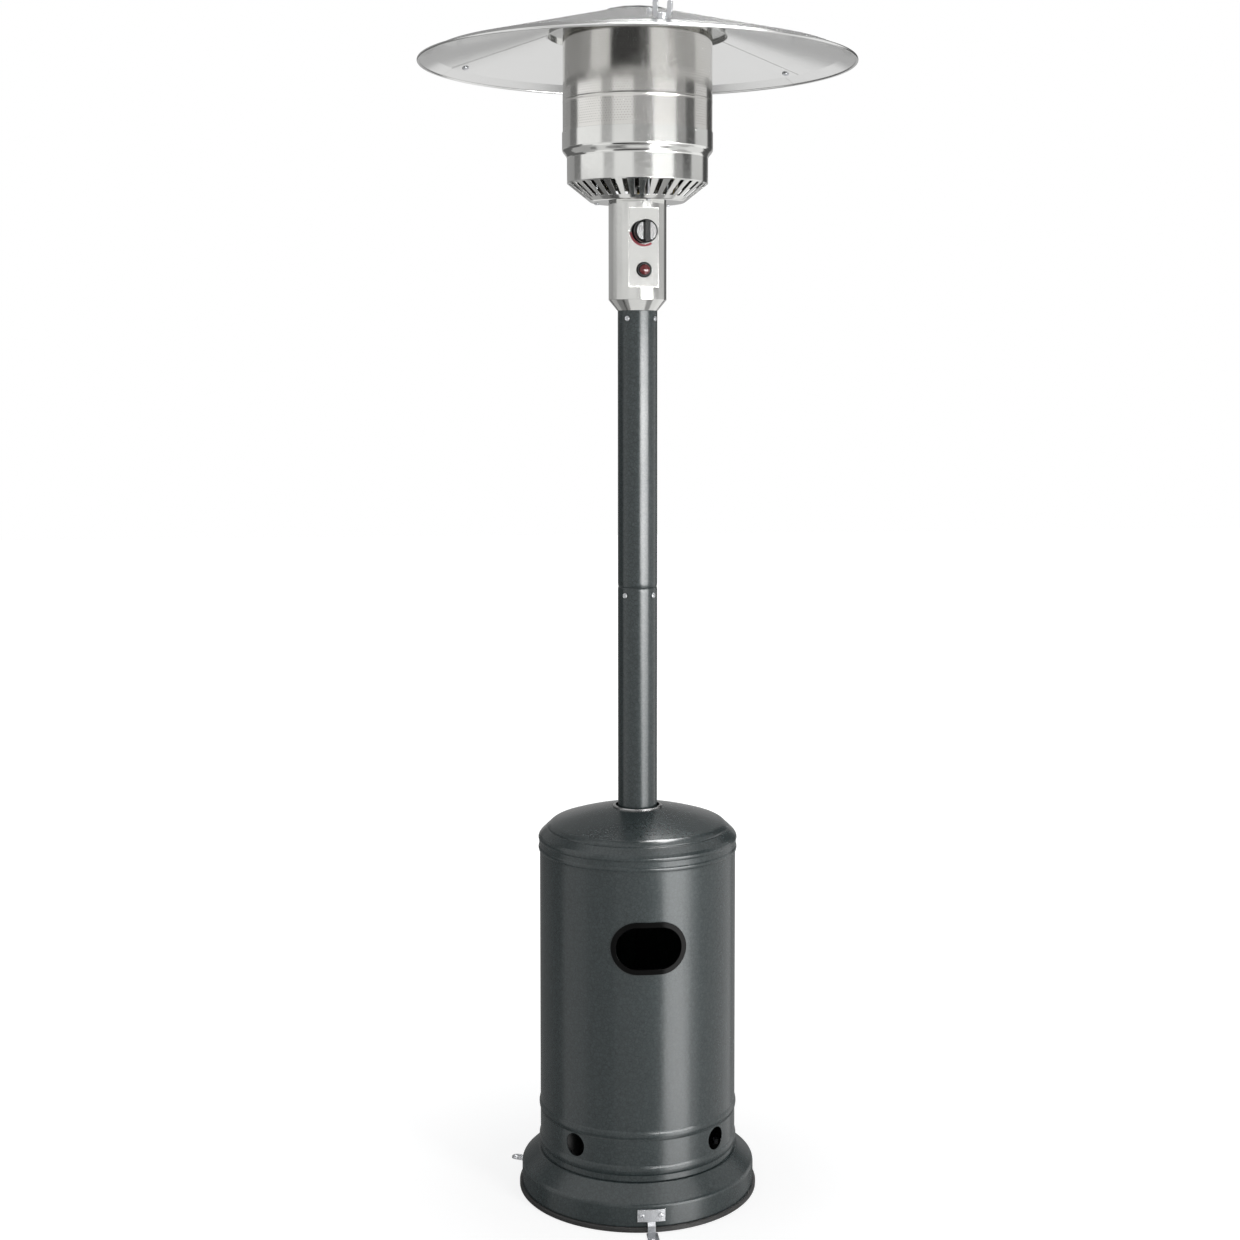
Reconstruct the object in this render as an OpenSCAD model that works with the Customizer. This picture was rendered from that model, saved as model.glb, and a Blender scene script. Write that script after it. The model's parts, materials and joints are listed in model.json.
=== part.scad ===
// Free-standing gas patio heater: a weighted round base, a liftable tank housing,
// a two-piece pole, a control head with knob and igniter, an emitter and a three-panel reflector.
// Millimetres, +Z up, origin on the floor under the pole, front towards -Y.

/* [Base] */
// Outer radius of the base skirt
base_r = 220; // [212:1:240]
// Sheet thickness of the base pan
base_t = 2; // [1.2:0.1:3]
// Height of the edge between the skirt and the sloping shoulder
skirt_top_z = 48; // [46:1:58]
// Height of the deck that the housing stands on
deck_z = 76; // [68:1:90]
// Radius where the sloping shoulder reaches the deck
deck_r = 189; // [188:1:196]
// Rounding of the skirt's upper edge
skirt_round = 9; // [5:0.5:12]
// Radial thickness of the floor trim outside the skirt
trim_out = 5; // [3:0.5:8]
// Radial thickness of the floor trim inside the skirt
trim_in = 3.5; // [2:0.5:6]
// Height of the floor trim
trim_h = 9; // [7:0.5:12]
// Height of the trim under the edge of the skirt
trim_floor = 3; // [2:0.5:5]

/* [Floor anchors] */
// Number of floor anchors round the base
anchor_count = 3; // [3:1:6]
// Width of the anchor's plate along the skirt
anchor_plate_w = 50; // [40:1:60]
// Height of the anchor's plate
anchor_plate_h = 22; // [18:1:26]
// Height of the plate's lower edge
anchor_plate_z = 19; // [17:0.5:21]
// Thickness of the anchor strip
anchor_t = 2.5; // [2:0.1:3]
// Width of the anchor's stem
anchor_stem_w = 14; // [10:1:18]
// Width of the anchor's foot
anchor_foot_w = 20; // [16:1:26]
// Reach of the foot beyond the trim
anchor_reach = 44; // [34:1:60]
// Radius of the hole in the foot
anchor_hole_r = 4.5; // [3:0.25:6]
// Distance between the two screws of an anchor
anchor_screw_gap = 34; // [28:1:38]

/* [Struts] */
// Width of a strut
strut_w = 30; // [24:1:36]
// Thickness of a strut
strut_t = 4; // [3:0.5:5]
// Radius of the inner face of the upright
strut_r = 168; // [160:1:172]
// Length of the strut's foot
strut_foot = 34; // [28:1:40]
// Height above the deck where the strut bends in
strut_bend_h = 524; // [480:1:540]
// Height of the pole flange above the deck
seat_h = 570; // [556:1:585]
// Radius of the circle of the upper strut bolts
seat_bolt_r = 52; // [49:0.5:56]
// Radius of the strut bolts
strut_bolt_r = 4; // [3:0.5:5]

/* [Pole] */
// Outer radius of the pole
pole_r = 37; // [36:0.25:38]
// Wall of the pole
pole_t = 1.5; // [1:0.1:2]
// Length of the lower pole
lower_pole_len = 493; // [400:1:560]
// Length of the upper pole
upper_pole_len = 516; // [400:1:600]
// Radius of the pole flange
flange_r = 66; // [63:1:72]
// Thickness of the pole flange
flange_t = 5; // [4:0.5:7]
// Wall of the tubes that join the pole pieces
sleeve_t = 2; // [1.5:0.1:3]
// Length of each half of the joint sleeve
sleeve_half = 100; // [60:1:140]
// Height of the flange's spigot in the pole
flange_spigot_h = 60; // [40:1:90]
// Length of the head's spigot in the pole
head_spigot_len = 50; // [40:1:80]
// Distance of the pole screws from the end of their tube
pole_screw_drop = 15; // [11:0.5:22]
// Radius of the pole screws
pole_screw_r = 2.2; // [1.8:0.1:2.6]

/* [Tank housing] */
// Outer radius of the drum
drum_r = 185; // [182:1:187]
// Sheet thickness of the drum
drum_t = 1.5; // [1:0.1:2]
// How far the drum's upper edge lies above the seat of the pole
drum_over = 24.7; // [18:0.1:32]
// Height of the lower bead above the drum's foot
bead_low = 20; // [12:0.5:22]
// Height of the upper bead above the drum's foot
bead_high = 84; // [84:0.5:110]
// How far the drum's beads stand out
bead_out = 2.2; // [1.2:0.1:3]
// Half of the height of the drum's beads
bead_half = 9; // [6:0.5:9.5]
// How far the beads on the dome's skirt stand out
skirt_bead_out = 1.4; // [0.8:0.1:2]
// Half of the height of the beads on the dome's skirt
skirt_bead_half = 4.5; // [3:0.25:5]
// Sheet thickness of the dome
dome_t = 1.2; // [0.8:0.1:1.5]
// Length of the dome's skirt round the drum
dome_skirt = 30; // [28:0.5:44]
// Height of the dome's sloping shoulder
dome_shoulder_h = 22; // [18:0.5:26]
// Width of the dome's sloping shoulder
dome_shoulder_w = 23.3; // [18:0.1:30]
// Rounding between the dome's skirt and its shoulder
dome_round_low = 8; // [4:0.5:9]
// Rounding between the dome's shoulder and its cone
dome_round_high = 24; // [14:0.5:25]
// How far up its shoulder the dome's pressed groove lies, as a share of the slope
groove_share = 0.655; // [0.5:0.005:0.66]
// Half of the width of the groove
groove_half = 2.2; // [1.5:0.1:2.4]
// Depth of the groove
groove_deep = 1.4; // [0.8:0.1:2]
// Rise of the dome's cone above its shoulder
dome_rise = 28; // [24:0.5:36]
// Bulge of the cone between its ends
dome_bulge = 2.5; // [1:0.25:4]
// Radius of the flat land round the pole
dome_land_r = 50; // [48:0.5:56]
// Radius of the collar's bore
collar_bore_r = 41.5; // [41:0.1:43]
// Wall of the collar
collar_t = 2.4; // [1.8:0.1:3]
// Width of the collar's shoulder
collar_shoulder = 2.6; // [1.5:0.1:3]
// Height of the collar above the dome
collar_h = 4; // [3:0.5:8]
// Depth of the collar below the dome
collar_tail = 8; // [4:0.5:10]
// Width of the hand hole's trim
hand_w = 138; // [120:1:150]
// Height of the hand hole's trim
hand_h = 95; // [80:1:104]
// Width of the trim's lip
hand_lip = 9; // [7:0.5:12]
// Overlap of the trim on the sheet
hand_overlap = 5; // [3:0.5:6]
// Height of the hand hole above the drum's foot
hand_up = 431; // [380:1:470]
// How far the hand hole's trim stands out of the drum
hand_out = 3; // [1.5:0.25:4]
// How far the hand hole's trim stands into the drum
hand_in = 2.5; // [1.5:0.25:4]
// Radius of the vent holes
vent_r = 21; // [14:0.5:24]
// Height of the vent holes above the drum's foot
vent_up = 53; // [50:0.5:56]

/* [Control head] */
// Turn of the head on the pole
head_yaw = 8; // [-20:1:20]
// Outer radius of the control tube
tube_r = 54; // [53:0.25:58]
// Wall of the control tube
tube_t = 1.2; // [0.8:0.1:1.6]
// Height of the cone under the control tube
neck_h = 20; // [16:0.5:28]
// Length of the control tube
tube_len = 180; // [176:1:200]
// Distance of the flat front from the axis
flat_y = 46; // [45.5:0.25:47]
// Height of the flat's lower edge above the cone
flat_low = 22; // [16:0.5:24]
// Height of the flat
flat_h = 146; // [140:1:150]
// Width of the front panel
panel_w = 54; // [46:0.5:55]
// Thickness of the front panel
panel_t = 1.5; // [1:0.1:2]
// Radius of the panel's corners
panel_corner = 3; // [2:0.25:6]
// Height of the knob above the cone
knob_up = 124; // [118:0.5:128]
// Height of the igniter above the cone
igniter_up = 54; // [50:0.5:58]

/* [Knob and valve] */
// Radius of the knob
knob_r = 21.5; // [20:0.5:25]
// Thickness of the knob's base
knob_base = 12; // [11.5:0.25:14]
// Height of the knob's grip above its base
knob_grip_h = 10; // [7:0.5:14]
// Width of the knob's grip
knob_grip_w = 9; // [7:0.5:12]
// Gap behind the knob
knob_gap = 7.5; // [7.25:0.25:10]
// Travel of the pushed knob
knob_travel = 6; // [4:0.25:6.5]
// Thickness of the knob's bright inserts
insert_t = 1.2; // [0.8:0.1:2]
// Radius of the valve stem
stem_r = 3.95; // [3.5:0.05:4.5]
// Radius of the turning plug
plug_r = 5.95; // [5.6:0.05:6.5]
// Radius of the valve's neck in the panel
valve_neck_r = 9; // [8.5:0.25:10]
// Width of the valve's block
valve_w = 34; // [30:1:40]
// Height of the valve's block
valve_h = 50; // [46:1:56]
// Radius of the gas inlet
inlet_r = 6.5; // [5.5:0.25:7]
// Length of the gas inlet below its hexagon
inlet_len = 17; // [14:0.5:20]
// Radius of the igniter's button
button_r = 9.5; // [8:0.25:10.5]
// Height of the igniter's button above its bezel
button_up = 8.5; // [8:0.25:12]
// Travel of the igniter's button
button_travel = 7; // [4:0.25:7.5]
// Radius of the igniter's bezel
bezel_r = 14.5; // [14:0.25:17]

/* [Burner and emitter] */
// Radius of the bowl at its rim
bowl_r = 131; // [129:1:139]
// Height of the bowl's sloping side
bowl_h = 35; // [33:0.5:39]
// Radius where the bowl's floor and its sloping side would meet
bowl_floor_r = 87; // [86:0.5:94]
// Rounding between the bowl's floor and its side
bowl_round = 10; // [6:0.5:11]
// Sheet thickness of the bowl, the band and the top plate
steel_t = 1.2; // [0.8:0.1:1.5]
// Number of slots in the bowl
slot_count = 36; // [24:1:40]
// Width of a slot
slot_w = 9; // [5:0.25:11]
// Height of a slot
slot_h = 25; // [16:0.5:25.5]
// Height of the slot's lower end above the bowl's floor
slot_up = 8; // [5:0.5:8.5]
// Height of the bowl's rim inside the band
rim_h = 17; // [10:0.5:24]
// Height of the straight band
band_len = 45; // [36:0.5:56]
// Height of the flare
flare_h = 17; // [14:0.5:24]
// Width of the flare
flare_w = 9; // [8:0.25:12]
// Height of the band round the emitter
band_top_len = 31; // [20:0.5:40]
// Length of the emitter screen
emitter_len = 213; // [180:1:240]
// Sheet thickness of the emitter screen
emitter_t = 1; // [0.6:0.1:1.2]
// Height of the bead on the emitter above its foot
emitter_bead_up = 87; // [60:1:120]
// Radius of the top plate
top_plate_r = 167; // [155:1:175]
// Depth of the top plate's lip
top_lip = 6; // [4:0.5:9]
// Radius of the burner drum
burner_r = 58; // [50:1:64]
// Height of the burner drum
burner_h = 30; // [24:1:36]
// Radius of the mixing tube
mixer_r = 18; // [15:0.5:22]
// Length of the mixing tube
mixer_len = 74; // [66:1:82]
// Circle of the tie rods
tie_r = 79; // [77:0.5:81]

/* [Reflector] */
// Radius of the reflector
rim_r = 406.5; // [380:0.5:430]
// Radius of the crease inside the lip
crease_r = 378; // [360:1:390]
// Slope of the cone in degrees
cone_slope = 14.17; // [12:0.01:17]
// Slope of the lip in degrees
lip_slope = 26; // [22:0.5:32]
// Sheet thickness of the panels
panel_sheet = 1; // [0.6:0.1:1.4]
// Radius of the rolled rim
roll_r = 2.6; // [2:0.1:3.5]
// Radius of the flat centre of the panels
centre_flat_r = 56; // [54:0.5:62]
// Radius of the hole between the panels' inner ends
centre_hole_r = 30; // [24:1:36]
// Radius of the cap over the centre
cap_r = 60; // [58:0.5:64]
// Width in degrees of the lap under the next panel
lap_angle = 6; // [5:0.25:8]
// Circle of the outer seam bolts
seam_outer_r = 362; // [340:1:366]
// Circle of the inner seam screws
seam_inner_r = 182; // [176:1:200]
// Length of the standoffs under the reflector
standoff_len = 38.25; // [30:0.25:48]
// Circle of the standoffs
standoff_r = 46; // [42:0.5:47]
// Height of the wing nuts
wing_h = 30; // [22:0.5:32]
// Half the span of the wing nuts
wing_reach = 18; // [15:0.5:20]

/* [Hidden] */
$fn = 96;

// Clearances: pieces of one assembly, a running fit, a lifted housing, a hole round its screw
slip = 0.1;
run_fit = 0.05;
lift_gap = 0.3;
hole_gap = 0.2;
far = 600;

// Colours
paint = [0.27, 0.29, 0.30];
steel = [0.76, 0.76, 0.75];
alloy = [0.80, 0.80, 0.80];
zinc = [0.70, 0.71, 0.72];
black = [0.06, 0.06, 0.06];
brassy = [0.72, 0.58, 0.30];
red = [0.45, 0.04, 0.05];

// Heights of the stack from the floor to the top
flange_z = deck_z + seat_h;
pole_foot_z = flange_z + flange_t;
joint_z = pole_foot_z + lower_pole_len;
head_z = joint_z + upper_pole_len;
tube_z = head_z + neck_h;
bowl_z = tube_z + tube_len;
band_z = bowl_z + bowl_h;
flare_z = band_z + band_len;
emitter_z = flare_z + flare_h;
band_top_z = emitter_z + band_top_len;
plate_z = emitter_z + emitter_len;
plate_top = plate_z + steel_t;
centre_z = plate_top + standoff_len + panel_sheet;
crease_z = centre_z - (crease_r - centre_flat_r) * tan(cone_slope);
rim_z = crease_z - (rim_r - crease_r) * tan(lip_slope);

// Radii that follow from a fit
pole_in = pole_r - pole_t;
sleeve_r = pole_in - slip;
band_r = bowl_r;
band_in = band_r - steel_t;
band_top_r = band_r + flare_w;
emitter_r = band_top_r - steel_t - slip;
emitter_in = emitter_r - emitter_t;
trim_r = base_r + trim_out;
deck_round = 4;

// Housing
drum_z = deck_z + lift_gap;
drum_h = seat_h + drum_over;
drum_top = drum_z + drum_h;
drum_in = drum_r - drum_t;
dome_in = drum_r + slip;
dome_r = dome_in + dome_t;
shoulder_z = drum_top + 4;
crown_z = shoulder_z + dome_shoulder_h;
dome_top = crown_z + dome_rise;
dome_hole_r = collar_bore_r + collar_t + slip;
hand_z = drum_z + hand_up;
vent_z = drum_z + vent_up;

// Struts, anchors and their screws
strut_angles = [-10, 90, 190];
strut_base_bolt_r = strut_r - strut_foot / 2;
anchor_angles = [for (i = [0 : anchor_count - 1]) -90 + i * 360 / anchor_count];
anchor_r = base_r + slip;
anchor_stem_r = trim_r + slip;
anchor_end = trim_r + anchor_reach;
anchor_hole_at = anchor_end - anchor_foot_w / 2;
anchor_half = asin(anchor_screw_gap / 2 / base_r);
anchor_z = anchor_plate_z + anchor_plate_h / 2;
skirt_screw_r = 2.5;
four = [45, 135, 225, 315];

// Control head
panel_y = flat_y + slip;
panel_face = panel_y + panel_t;
flat_z = tube_z + flat_low;
knob_z = tube_z + knob_up;
igniter_z = tube_z + igniter_up;
neck_r = pole_r + 0.6;
flat_in = flat_y - tube_t;
knob_back = panel_face + knob_gap;
knob_front = knob_back + knob_base;
knob_recess = knob_gap;
nut_t = 4;
plug_back = 4;
plug_front = panel_face + 1;
plug_bore_r = stem_r + run_fit;
stem_back = plug_back + 3 + knob_travel + 1;
stem_front = knob_front - 1.5;
valve_front = 36;
valve_rear = 12;
valve_top = knob_z + valve_h / 2;
valve_bottom = knob_z - valve_h / 2;
inlet_y = 8;
inlet_hex = 10;
bezel_face = panel_face + 3;
barrel_r = button_r + run_fit + 2.4;
button_back = 20;
button_face = bezel_face + button_up;
rod_head = 2.5;
pipe_r = 4;

// Reflector seams: bolts stand on the middle of each lap
seam_angles = [-90, 30, 150];
lap_drop = panel_sheet + 0.05;
fit_r = 12;
cap_gap = 0.05;
wing_turn = -32;

// Helpers

// Tube about Z
module tube(r_out, r_in, z, h) {
  translate([0, 0, z])
    difference() {
      cylinder(r = r_out, h = h);
      translate([0, 0, -1]) cylinder(r = r_in, h = h + 2);
    }
}

// Children placed at the front of the head, along its outward direction, at height z
module outward(from, z) {
  rotate([0, 0, head_yaw])
    translate([0, -from, z])
      rotate([90, 0, 0])
        children();
}

// Children of the head, turned with it
module on_head() {
  rotate([0, 0, head_yaw]) children();
}

// Low domed screw head, seat at z = 0
module pan_head(r, h) {
  rotate_extrude()
    polygon([[0, 0], [r, 0], [r * 0.96, h * 0.45], [r * 0.74, h * 0.84], [0, h]]);
}

// Screw with its head outside, its shank running to -length
module pan_screw(r, length, head_r, head_h) {
  pan_head(head_r, head_h);
  translate([0, 0, -length]) cylinder(r = r, h = length + head_h / 2, $fn = 32);
}

// Radial screw or hole at an angle: the seat is at radius at
module radial(angle, at, z) {
  rotate([0, 0, angle])
    translate([at, 0, z])
      rotate([0, 90, 0])
        children();
}

// Hexagon bolt with its nut: seat at z = 0, grip downwards
module hex_bolt(r, grip) {
  cylinder(r = r * 1.7, h = r * 1.3, $fn = 6);
  translate([0, 0, -grip - r * 2.2]) cylinder(r = r, h = grip + r * 2.2 + r, $fn = 32);
  translate([0, 0, -grip - r * 1.6]) cylinder(r = r * 1.7, h = r * 1.6, $fn = 6);
}

// Outline with round ends: w wide, h high
module obround(w, h) {
  square([w - h, h], center = true);
  for (s = [-1, 1]) translate([s * (w - h) / 2, 0]) circle(d = h);
}

// Obround bar through the front of the drum
module hand_bar(w, h) {
  translate([0, -drum_r + 40, hand_z])
    rotate([90, 0, 0])
      linear_extrude(height = 80) obround(w, h);
}

// Radius of a bead from how far it stands out and half of its height
function bead_round(out, half) = (half * half + out * out) / (2 * out);

// Section of a raised bead on a wall of radius r at height z
module bead_profile(r, z, out, half, wall) {
  intersection() {
    translate([r + out - bead_round(out, half), z]) circle(r = bead_round(out, half));
    translate([r - wall / 2, z - half - 1]) square([wall / 2 + out + 1, 2 * half + 2]);
  }
}

// Hollow behind a rolled bead, so that the sheet keeps its thickness
module bead_hollow(r, z, out, half, wall) {
  translate([r + out - bead_round(out, half), z]) circle(r = bead_round(out, half) - wall);
}

// Quarter of an ellipse from (r + w, z) to (r, z + h)
function shoulder(r, w, z, h, steps) =
  [for (i = [0 : steps]) [r + w * cos(90 * i / steps), z + h * sin(90 * i / steps)]];

// A list of points backwards
function turned(points) = [for (i = [len(points) - 1 : -1 : 0]) points[i]];

// Rounded corner at b between the lines to a and to c; cut moves it inwards by a sheet's thickness
function corner(a, b, c, r, cut, steps) =
  let (u = (a - b) / norm(a - b), v = (c - b) / norm(c - b), half = acos(u * v) / 2,
       mid = b + (u + v) / norm(u + v) * r / sin(half),
       p = b + u * r / tan(half) - mid, q = b + v * r / tan(half) - mid,
       first = atan2(p[1], p[0]), turn = atan2(p[0] * q[1] - p[1] * q[0], p * q))
  [for (i = [0 : steps]) let (t = first + turn * i / steps) mid + (r - cut) * [cos(t), sin(t)]];

// Groove pressed into the line from a to b, seen at a depth of cut under the surface
function groove(a, b, cut) =
  let (u = (b - a) / norm(b - a), n = [u[1], -u[0]], mid = a + (b - a) * groove_share - n * cut)
  [mid - u * groove_half, mid - n * groove_deep, mid + u * groove_half];

// Bulged line between two points
function bulged(a, b, bulge, steps) =
  [for (i = [0 : steps]) let (u = i / steps)
    [a[0] + (b[0] - a[0]) * u, a[1] + (b[1] - a[1]) * u + 4 * bulge * u * (1 - u)]];

// Top of the reflector's cone at radius r
function cone_z(r) = centre_z - (r - centre_flat_r) * tan(cone_slope);

// Base

module base_pan() {
  inner = [0, deck_z];
  upper = [deck_r, deck_z];
  outer = [base_r, skirt_top_z];
  foot = [base_r, trim_floor];
  color(paint)
    difference() {
      rotate_extrude()
        polygon(concat(
          [[0, deck_z - base_t], [0, deck_z]],
          corner(inner, upper, outer, deck_round, 0, 4), corner(upper, outer, foot, skirt_round, 0, 8),
          [foot, [base_r - base_t, trim_floor]],
          turned(corner(upper, outer, foot, skirt_round, base_t, 8)),
          turned(corner(inner, upper, outer, deck_round, base_t, 4))));
      for (a = anchor_angles)
        for (s = [-1, 1])
          radial(a + s * anchor_half, base_r - 10, anchor_z)
            cylinder(r = skirt_screw_r + hole_gap, h = 20);
      for (a = strut_angles)
        rotate([0, 0, a])
          translate([strut_base_bolt_r, 0, deck_z - 10])
            cylinder(r = strut_bolt_r + hole_gap, h = 20);
    }
}

module base_trim() {
  color(black)
    rotate_extrude()
      polygon([
        [base_r - base_t - trim_in, 0], [trim_r - 1, 0], [trim_r, 1],
        [trim_r, trim_h - 2], [trim_r - 2, trim_h], [base_r + slip, trim_h],
        [base_r + slip, trim_floor], [base_r - base_t - slip, trim_floor],
        [base_r - base_t - slip, trim_h - 1], [base_r - base_t - trim_in, trim_h - 1]]);
}

// Bent T-shaped strip: a curved plate on the skirt, a stem over the trim and a foot on the floor
module anchor_bracket() {
  half_w = anchor_plate_w / 2 / base_r * 180 / PI;
  step = anchor_stem_r - anchor_r;
  bend_z = anchor_plate_z - 2;
  difference() {
    union() {
      rotate([0, 0, -half_w])
        rotate_extrude(angle = 2 * half_w)
          translate([anchor_r, anchor_plate_z]) square([anchor_t, anchor_plate_h]);
      translate([0, anchor_stem_w / 2, 0])
        rotate([90, 0, 0])
          linear_extrude(height = anchor_stem_w)
            polygon([
              [anchor_r + 0.4, anchor_plate_z + 6], [anchor_r + 0.4, bend_z],
              [anchor_stem_r, bend_z - step], [anchor_stem_r, 0], [anchor_stem_r + 14, 0],
              [anchor_stem_r + 14, anchor_t], [anchor_stem_r + anchor_t, anchor_t],
              [anchor_stem_r + anchor_t, bend_z - step + 1],
              [anchor_r + anchor_t - 0.2, bend_z + 1],
              [anchor_r + anchor_t - 0.2, anchor_plate_z + 6]]);
      linear_extrude(height = anchor_t) {
        translate([anchor_stem_r + 6, -anchor_foot_w / 2])
          square([anchor_hole_at - anchor_stem_r - 6, anchor_foot_w]);
        translate([anchor_hole_at, 0]) circle(d = anchor_foot_w);
      }
    }
    translate([anchor_hole_at, 0, -1]) cylinder(r = anchor_hole_r, h = anchor_t + 2);
    for (s = [-1, 1])
      radial(s * anchor_half, base_r - 5, anchor_z)
        cylinder(r = skirt_screw_r + hole_gap, h = 20);
  }
}

module anchor_brackets() {
  color(zinc)
    for (a = anchor_angles) rotate([0, 0, a]) anchor_bracket();
}

module anchor_screws() {
  seat = anchor_r + anchor_t + slip;
  nut_at = base_r - base_t - 0.2 - slip;
  color(zinc)
    for (a = anchor_angles)
      for (s = [-1, 1]) {
        radial(a + s * anchor_half, seat, anchor_z)
          pan_screw(skirt_screw_r, seat - nut_at + 6, 4.6, 2.8);
        radial(a + s * anchor_half, nut_at - 4, anchor_z) cylinder(r = 4.6, h = 4, $fn = 6);
      }
}

// Struts

module strut(angle) {
  tab_out = seat_bolt_r + 14;
  tab_in = pole_in;
  top = flange_z;
  bend = deck_z + strut_bend_h;
  color(zinc)
    rotate([0, 0, angle])
      difference() {
        translate([0, strut_w / 2, 0])
          rotate([90, 0, 0])
            linear_extrude(height = strut_w)
              polygon([
                [strut_r - strut_foot, deck_z], [strut_r + strut_t, deck_z],
                [strut_r + strut_t, bend + 2], [tab_out + 1, top], [tab_in, top],
                [tab_in, top - strut_t], [tab_out, top - strut_t], [strut_r, bend],
                [strut_r, deck_z + strut_t], [strut_r - strut_foot, deck_z + strut_t]]);
        translate([strut_base_bolt_r, 0, deck_z - 1])
          cylinder(r = strut_bolt_r + hole_gap, h = strut_t + 2);
        translate([seat_bolt_r, 0, top - strut_t - 1])
          cylinder(r = strut_bolt_r + hole_gap, h = strut_t + 2);
      }
}

module support_strut_right() { strut(strut_angles[0]); }

module support_strut_rear() { strut(strut_angles[1]); }

module support_strut_left() { strut(strut_angles[2]); }

module strut_base_bolts() {
  color(zinc)
    for (a = strut_angles)
      rotate([0, 0, a])
        translate([strut_base_bolt_r, 0, deck_z + strut_t])
          hex_bolt(strut_bolt_r, strut_t + base_t);
}

module strut_top_bolts() {
  color(zinc)
    for (a = strut_angles)
      rotate([0, 0, a])
        translate([seat_bolt_r, 0, flange_z + flange_t])
          hex_bolt(strut_bolt_r, strut_t + flange_t);
}

// Pole

module pole_flange() {
  color(zinc)
    difference() {
      union() {
        translate([0, 0, flange_z]) cylinder(r = flange_r, h = flange_t);
        translate([0, 0, flange_z]) cylinder(r = sleeve_r, h = flange_t + flange_spigot_h);
      }
      translate([0, 0, flange_z - 1])
        cylinder(r = sleeve_r - sleeve_t, h = flange_t + flange_spigot_h + 2);
      for (a = strut_angles)
        rotate([0, 0, a])
          translate([seat_bolt_r, 0, flange_z - 1])
            cylinder(r = strut_bolt_r + hole_gap, h = flange_t + 2);
    }
}

module lower_pole() {
  color(paint)
    difference() {
      tube(pole_r, pole_in, pole_foot_z, lower_pole_len);
      for (a = four)
        radial(a, pole_in - 5, joint_z - pole_screw_drop) cylinder(r = pole_screw_r + hole_gap, h = 15);
    }
}

module pole_sleeve() {
  color(zinc)
    difference() {
      tube(sleeve_r, sleeve_r - sleeve_t, joint_z - sleeve_half, 2 * sleeve_half);
      for (a = four)
        radial(a, sleeve_r - 9, joint_z - pole_screw_drop) cylinder(r = pole_screw_r + hole_gap, h = 15);
    }
}

module pole_screws(z) {
  seat = pole_r + slip;
  color(zinc)
    for (a = four)
      radial(a, seat, z) pan_screw(pole_screw_r, seat - sleeve_r + sleeve_t + 4, 4.8, 2.8);
}

module pole_joint_screws() { pole_screws(joint_z - pole_screw_drop); }

module upper_pole() {
  color(paint)
    difference() {
      tube(pole_r, pole_in, joint_z, upper_pole_len);
      on_head()
        for (a = four)
          radial(a, pole_in - 5, head_z - pole_screw_drop) cylinder(r = pole_screw_r + hole_gap, h = 15);
    }
}

module head_spigot() {
  color(zinc)
    on_head()
      difference() {
        tube(sleeve_r, sleeve_r - sleeve_t, head_z - head_spigot_len, head_spigot_len);
        for (a = four)
          radial(a, sleeve_r - 9, head_z - pole_screw_drop) cylinder(r = pole_screw_r + hole_gap, h = 15);
      }
}

module head_screws() { on_head() pole_screws(head_z - pole_screw_drop); }

// Tank housing

module housing_drum() {
  color(paint)
    difference() {
      rotate_extrude()
        difference() {
          union() {
            translate([drum_in, drum_z]) square([drum_t, drum_h]);
            for (up = [bead_low, bead_high]) bead_profile(drum_r, drum_z + up, bead_out, bead_half, drum_t);
          }
          for (up = [bead_low, bead_high]) bead_hollow(drum_r, drum_z + up, bead_out, bead_half, drum_t);
        }
      hand_bar(hand_w - 2 * hand_overlap, hand_h - 2 * hand_overlap);
      for (a = four) radial(a, drum_r - 20, vent_z) cylinder(r = vent_r, h = 40);
    }
}

module housing_dome() {
  foot = [dome_r, shoulder_z - dome_skirt];
  low = [dome_r, shoulder_z];
  crown = [dome_r - dome_shoulder_w, crown_z];
  rise = (dome_rise + 4 * dome_bulge) / (crown[0] - dome_land_r);
  next = crown + [-1, rise];
  last = corner(low, crown, next, dome_round_high, 0, 6)[6];
  last_in = corner(low, crown, next, dome_round_high, dome_t, 6)[6];
  color(paint)
    rotate_extrude() {
      polygon(concat(
        [foot - [dome_t, 0], foot],
        corner(foot, low, crown, dome_round_low, 0, 6),
        groove(low, crown, 0),
        corner(low, crown, next, dome_round_high, 0, 5),
        bulged(last, [dome_land_r, dome_top], dome_bulge, 8),
        [[dome_hole_r, dome_top], [dome_hole_r, dome_top - dome_t]],
        bulged([dome_land_r, dome_top - dome_t], last_in, dome_bulge, 8),
        turned(corner(low, crown, next, dome_round_high, dome_t, 5)),
        turned(groove(low, crown, dome_t)),
        turned(corner(foot, low, crown, dome_round_low, dome_t, 6))));
      bead_profile(dome_r, shoulder_z - 5.5, skirt_bead_out, skirt_bead_half, dome_t);
      bead_profile(dome_r, shoulder_z - dome_skirt + 6, skirt_bead_out, skirt_bead_half, dome_t);
    }
}

module dome_collar() {
  mid = collar_bore_r + collar_t;
  color(steel)
    rotate_extrude()
      polygon([
        [collar_bore_r, dome_top - collar_tail], [mid, dome_top - collar_tail], [mid, dome_top],
        [mid + collar_shoulder, dome_top], [mid + collar_shoulder, dome_top + collar_h - 1.5],
        [mid + collar_shoulder - 1.5, dome_top + collar_h], [collar_bore_r, dome_top + collar_h]]);
}

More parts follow.
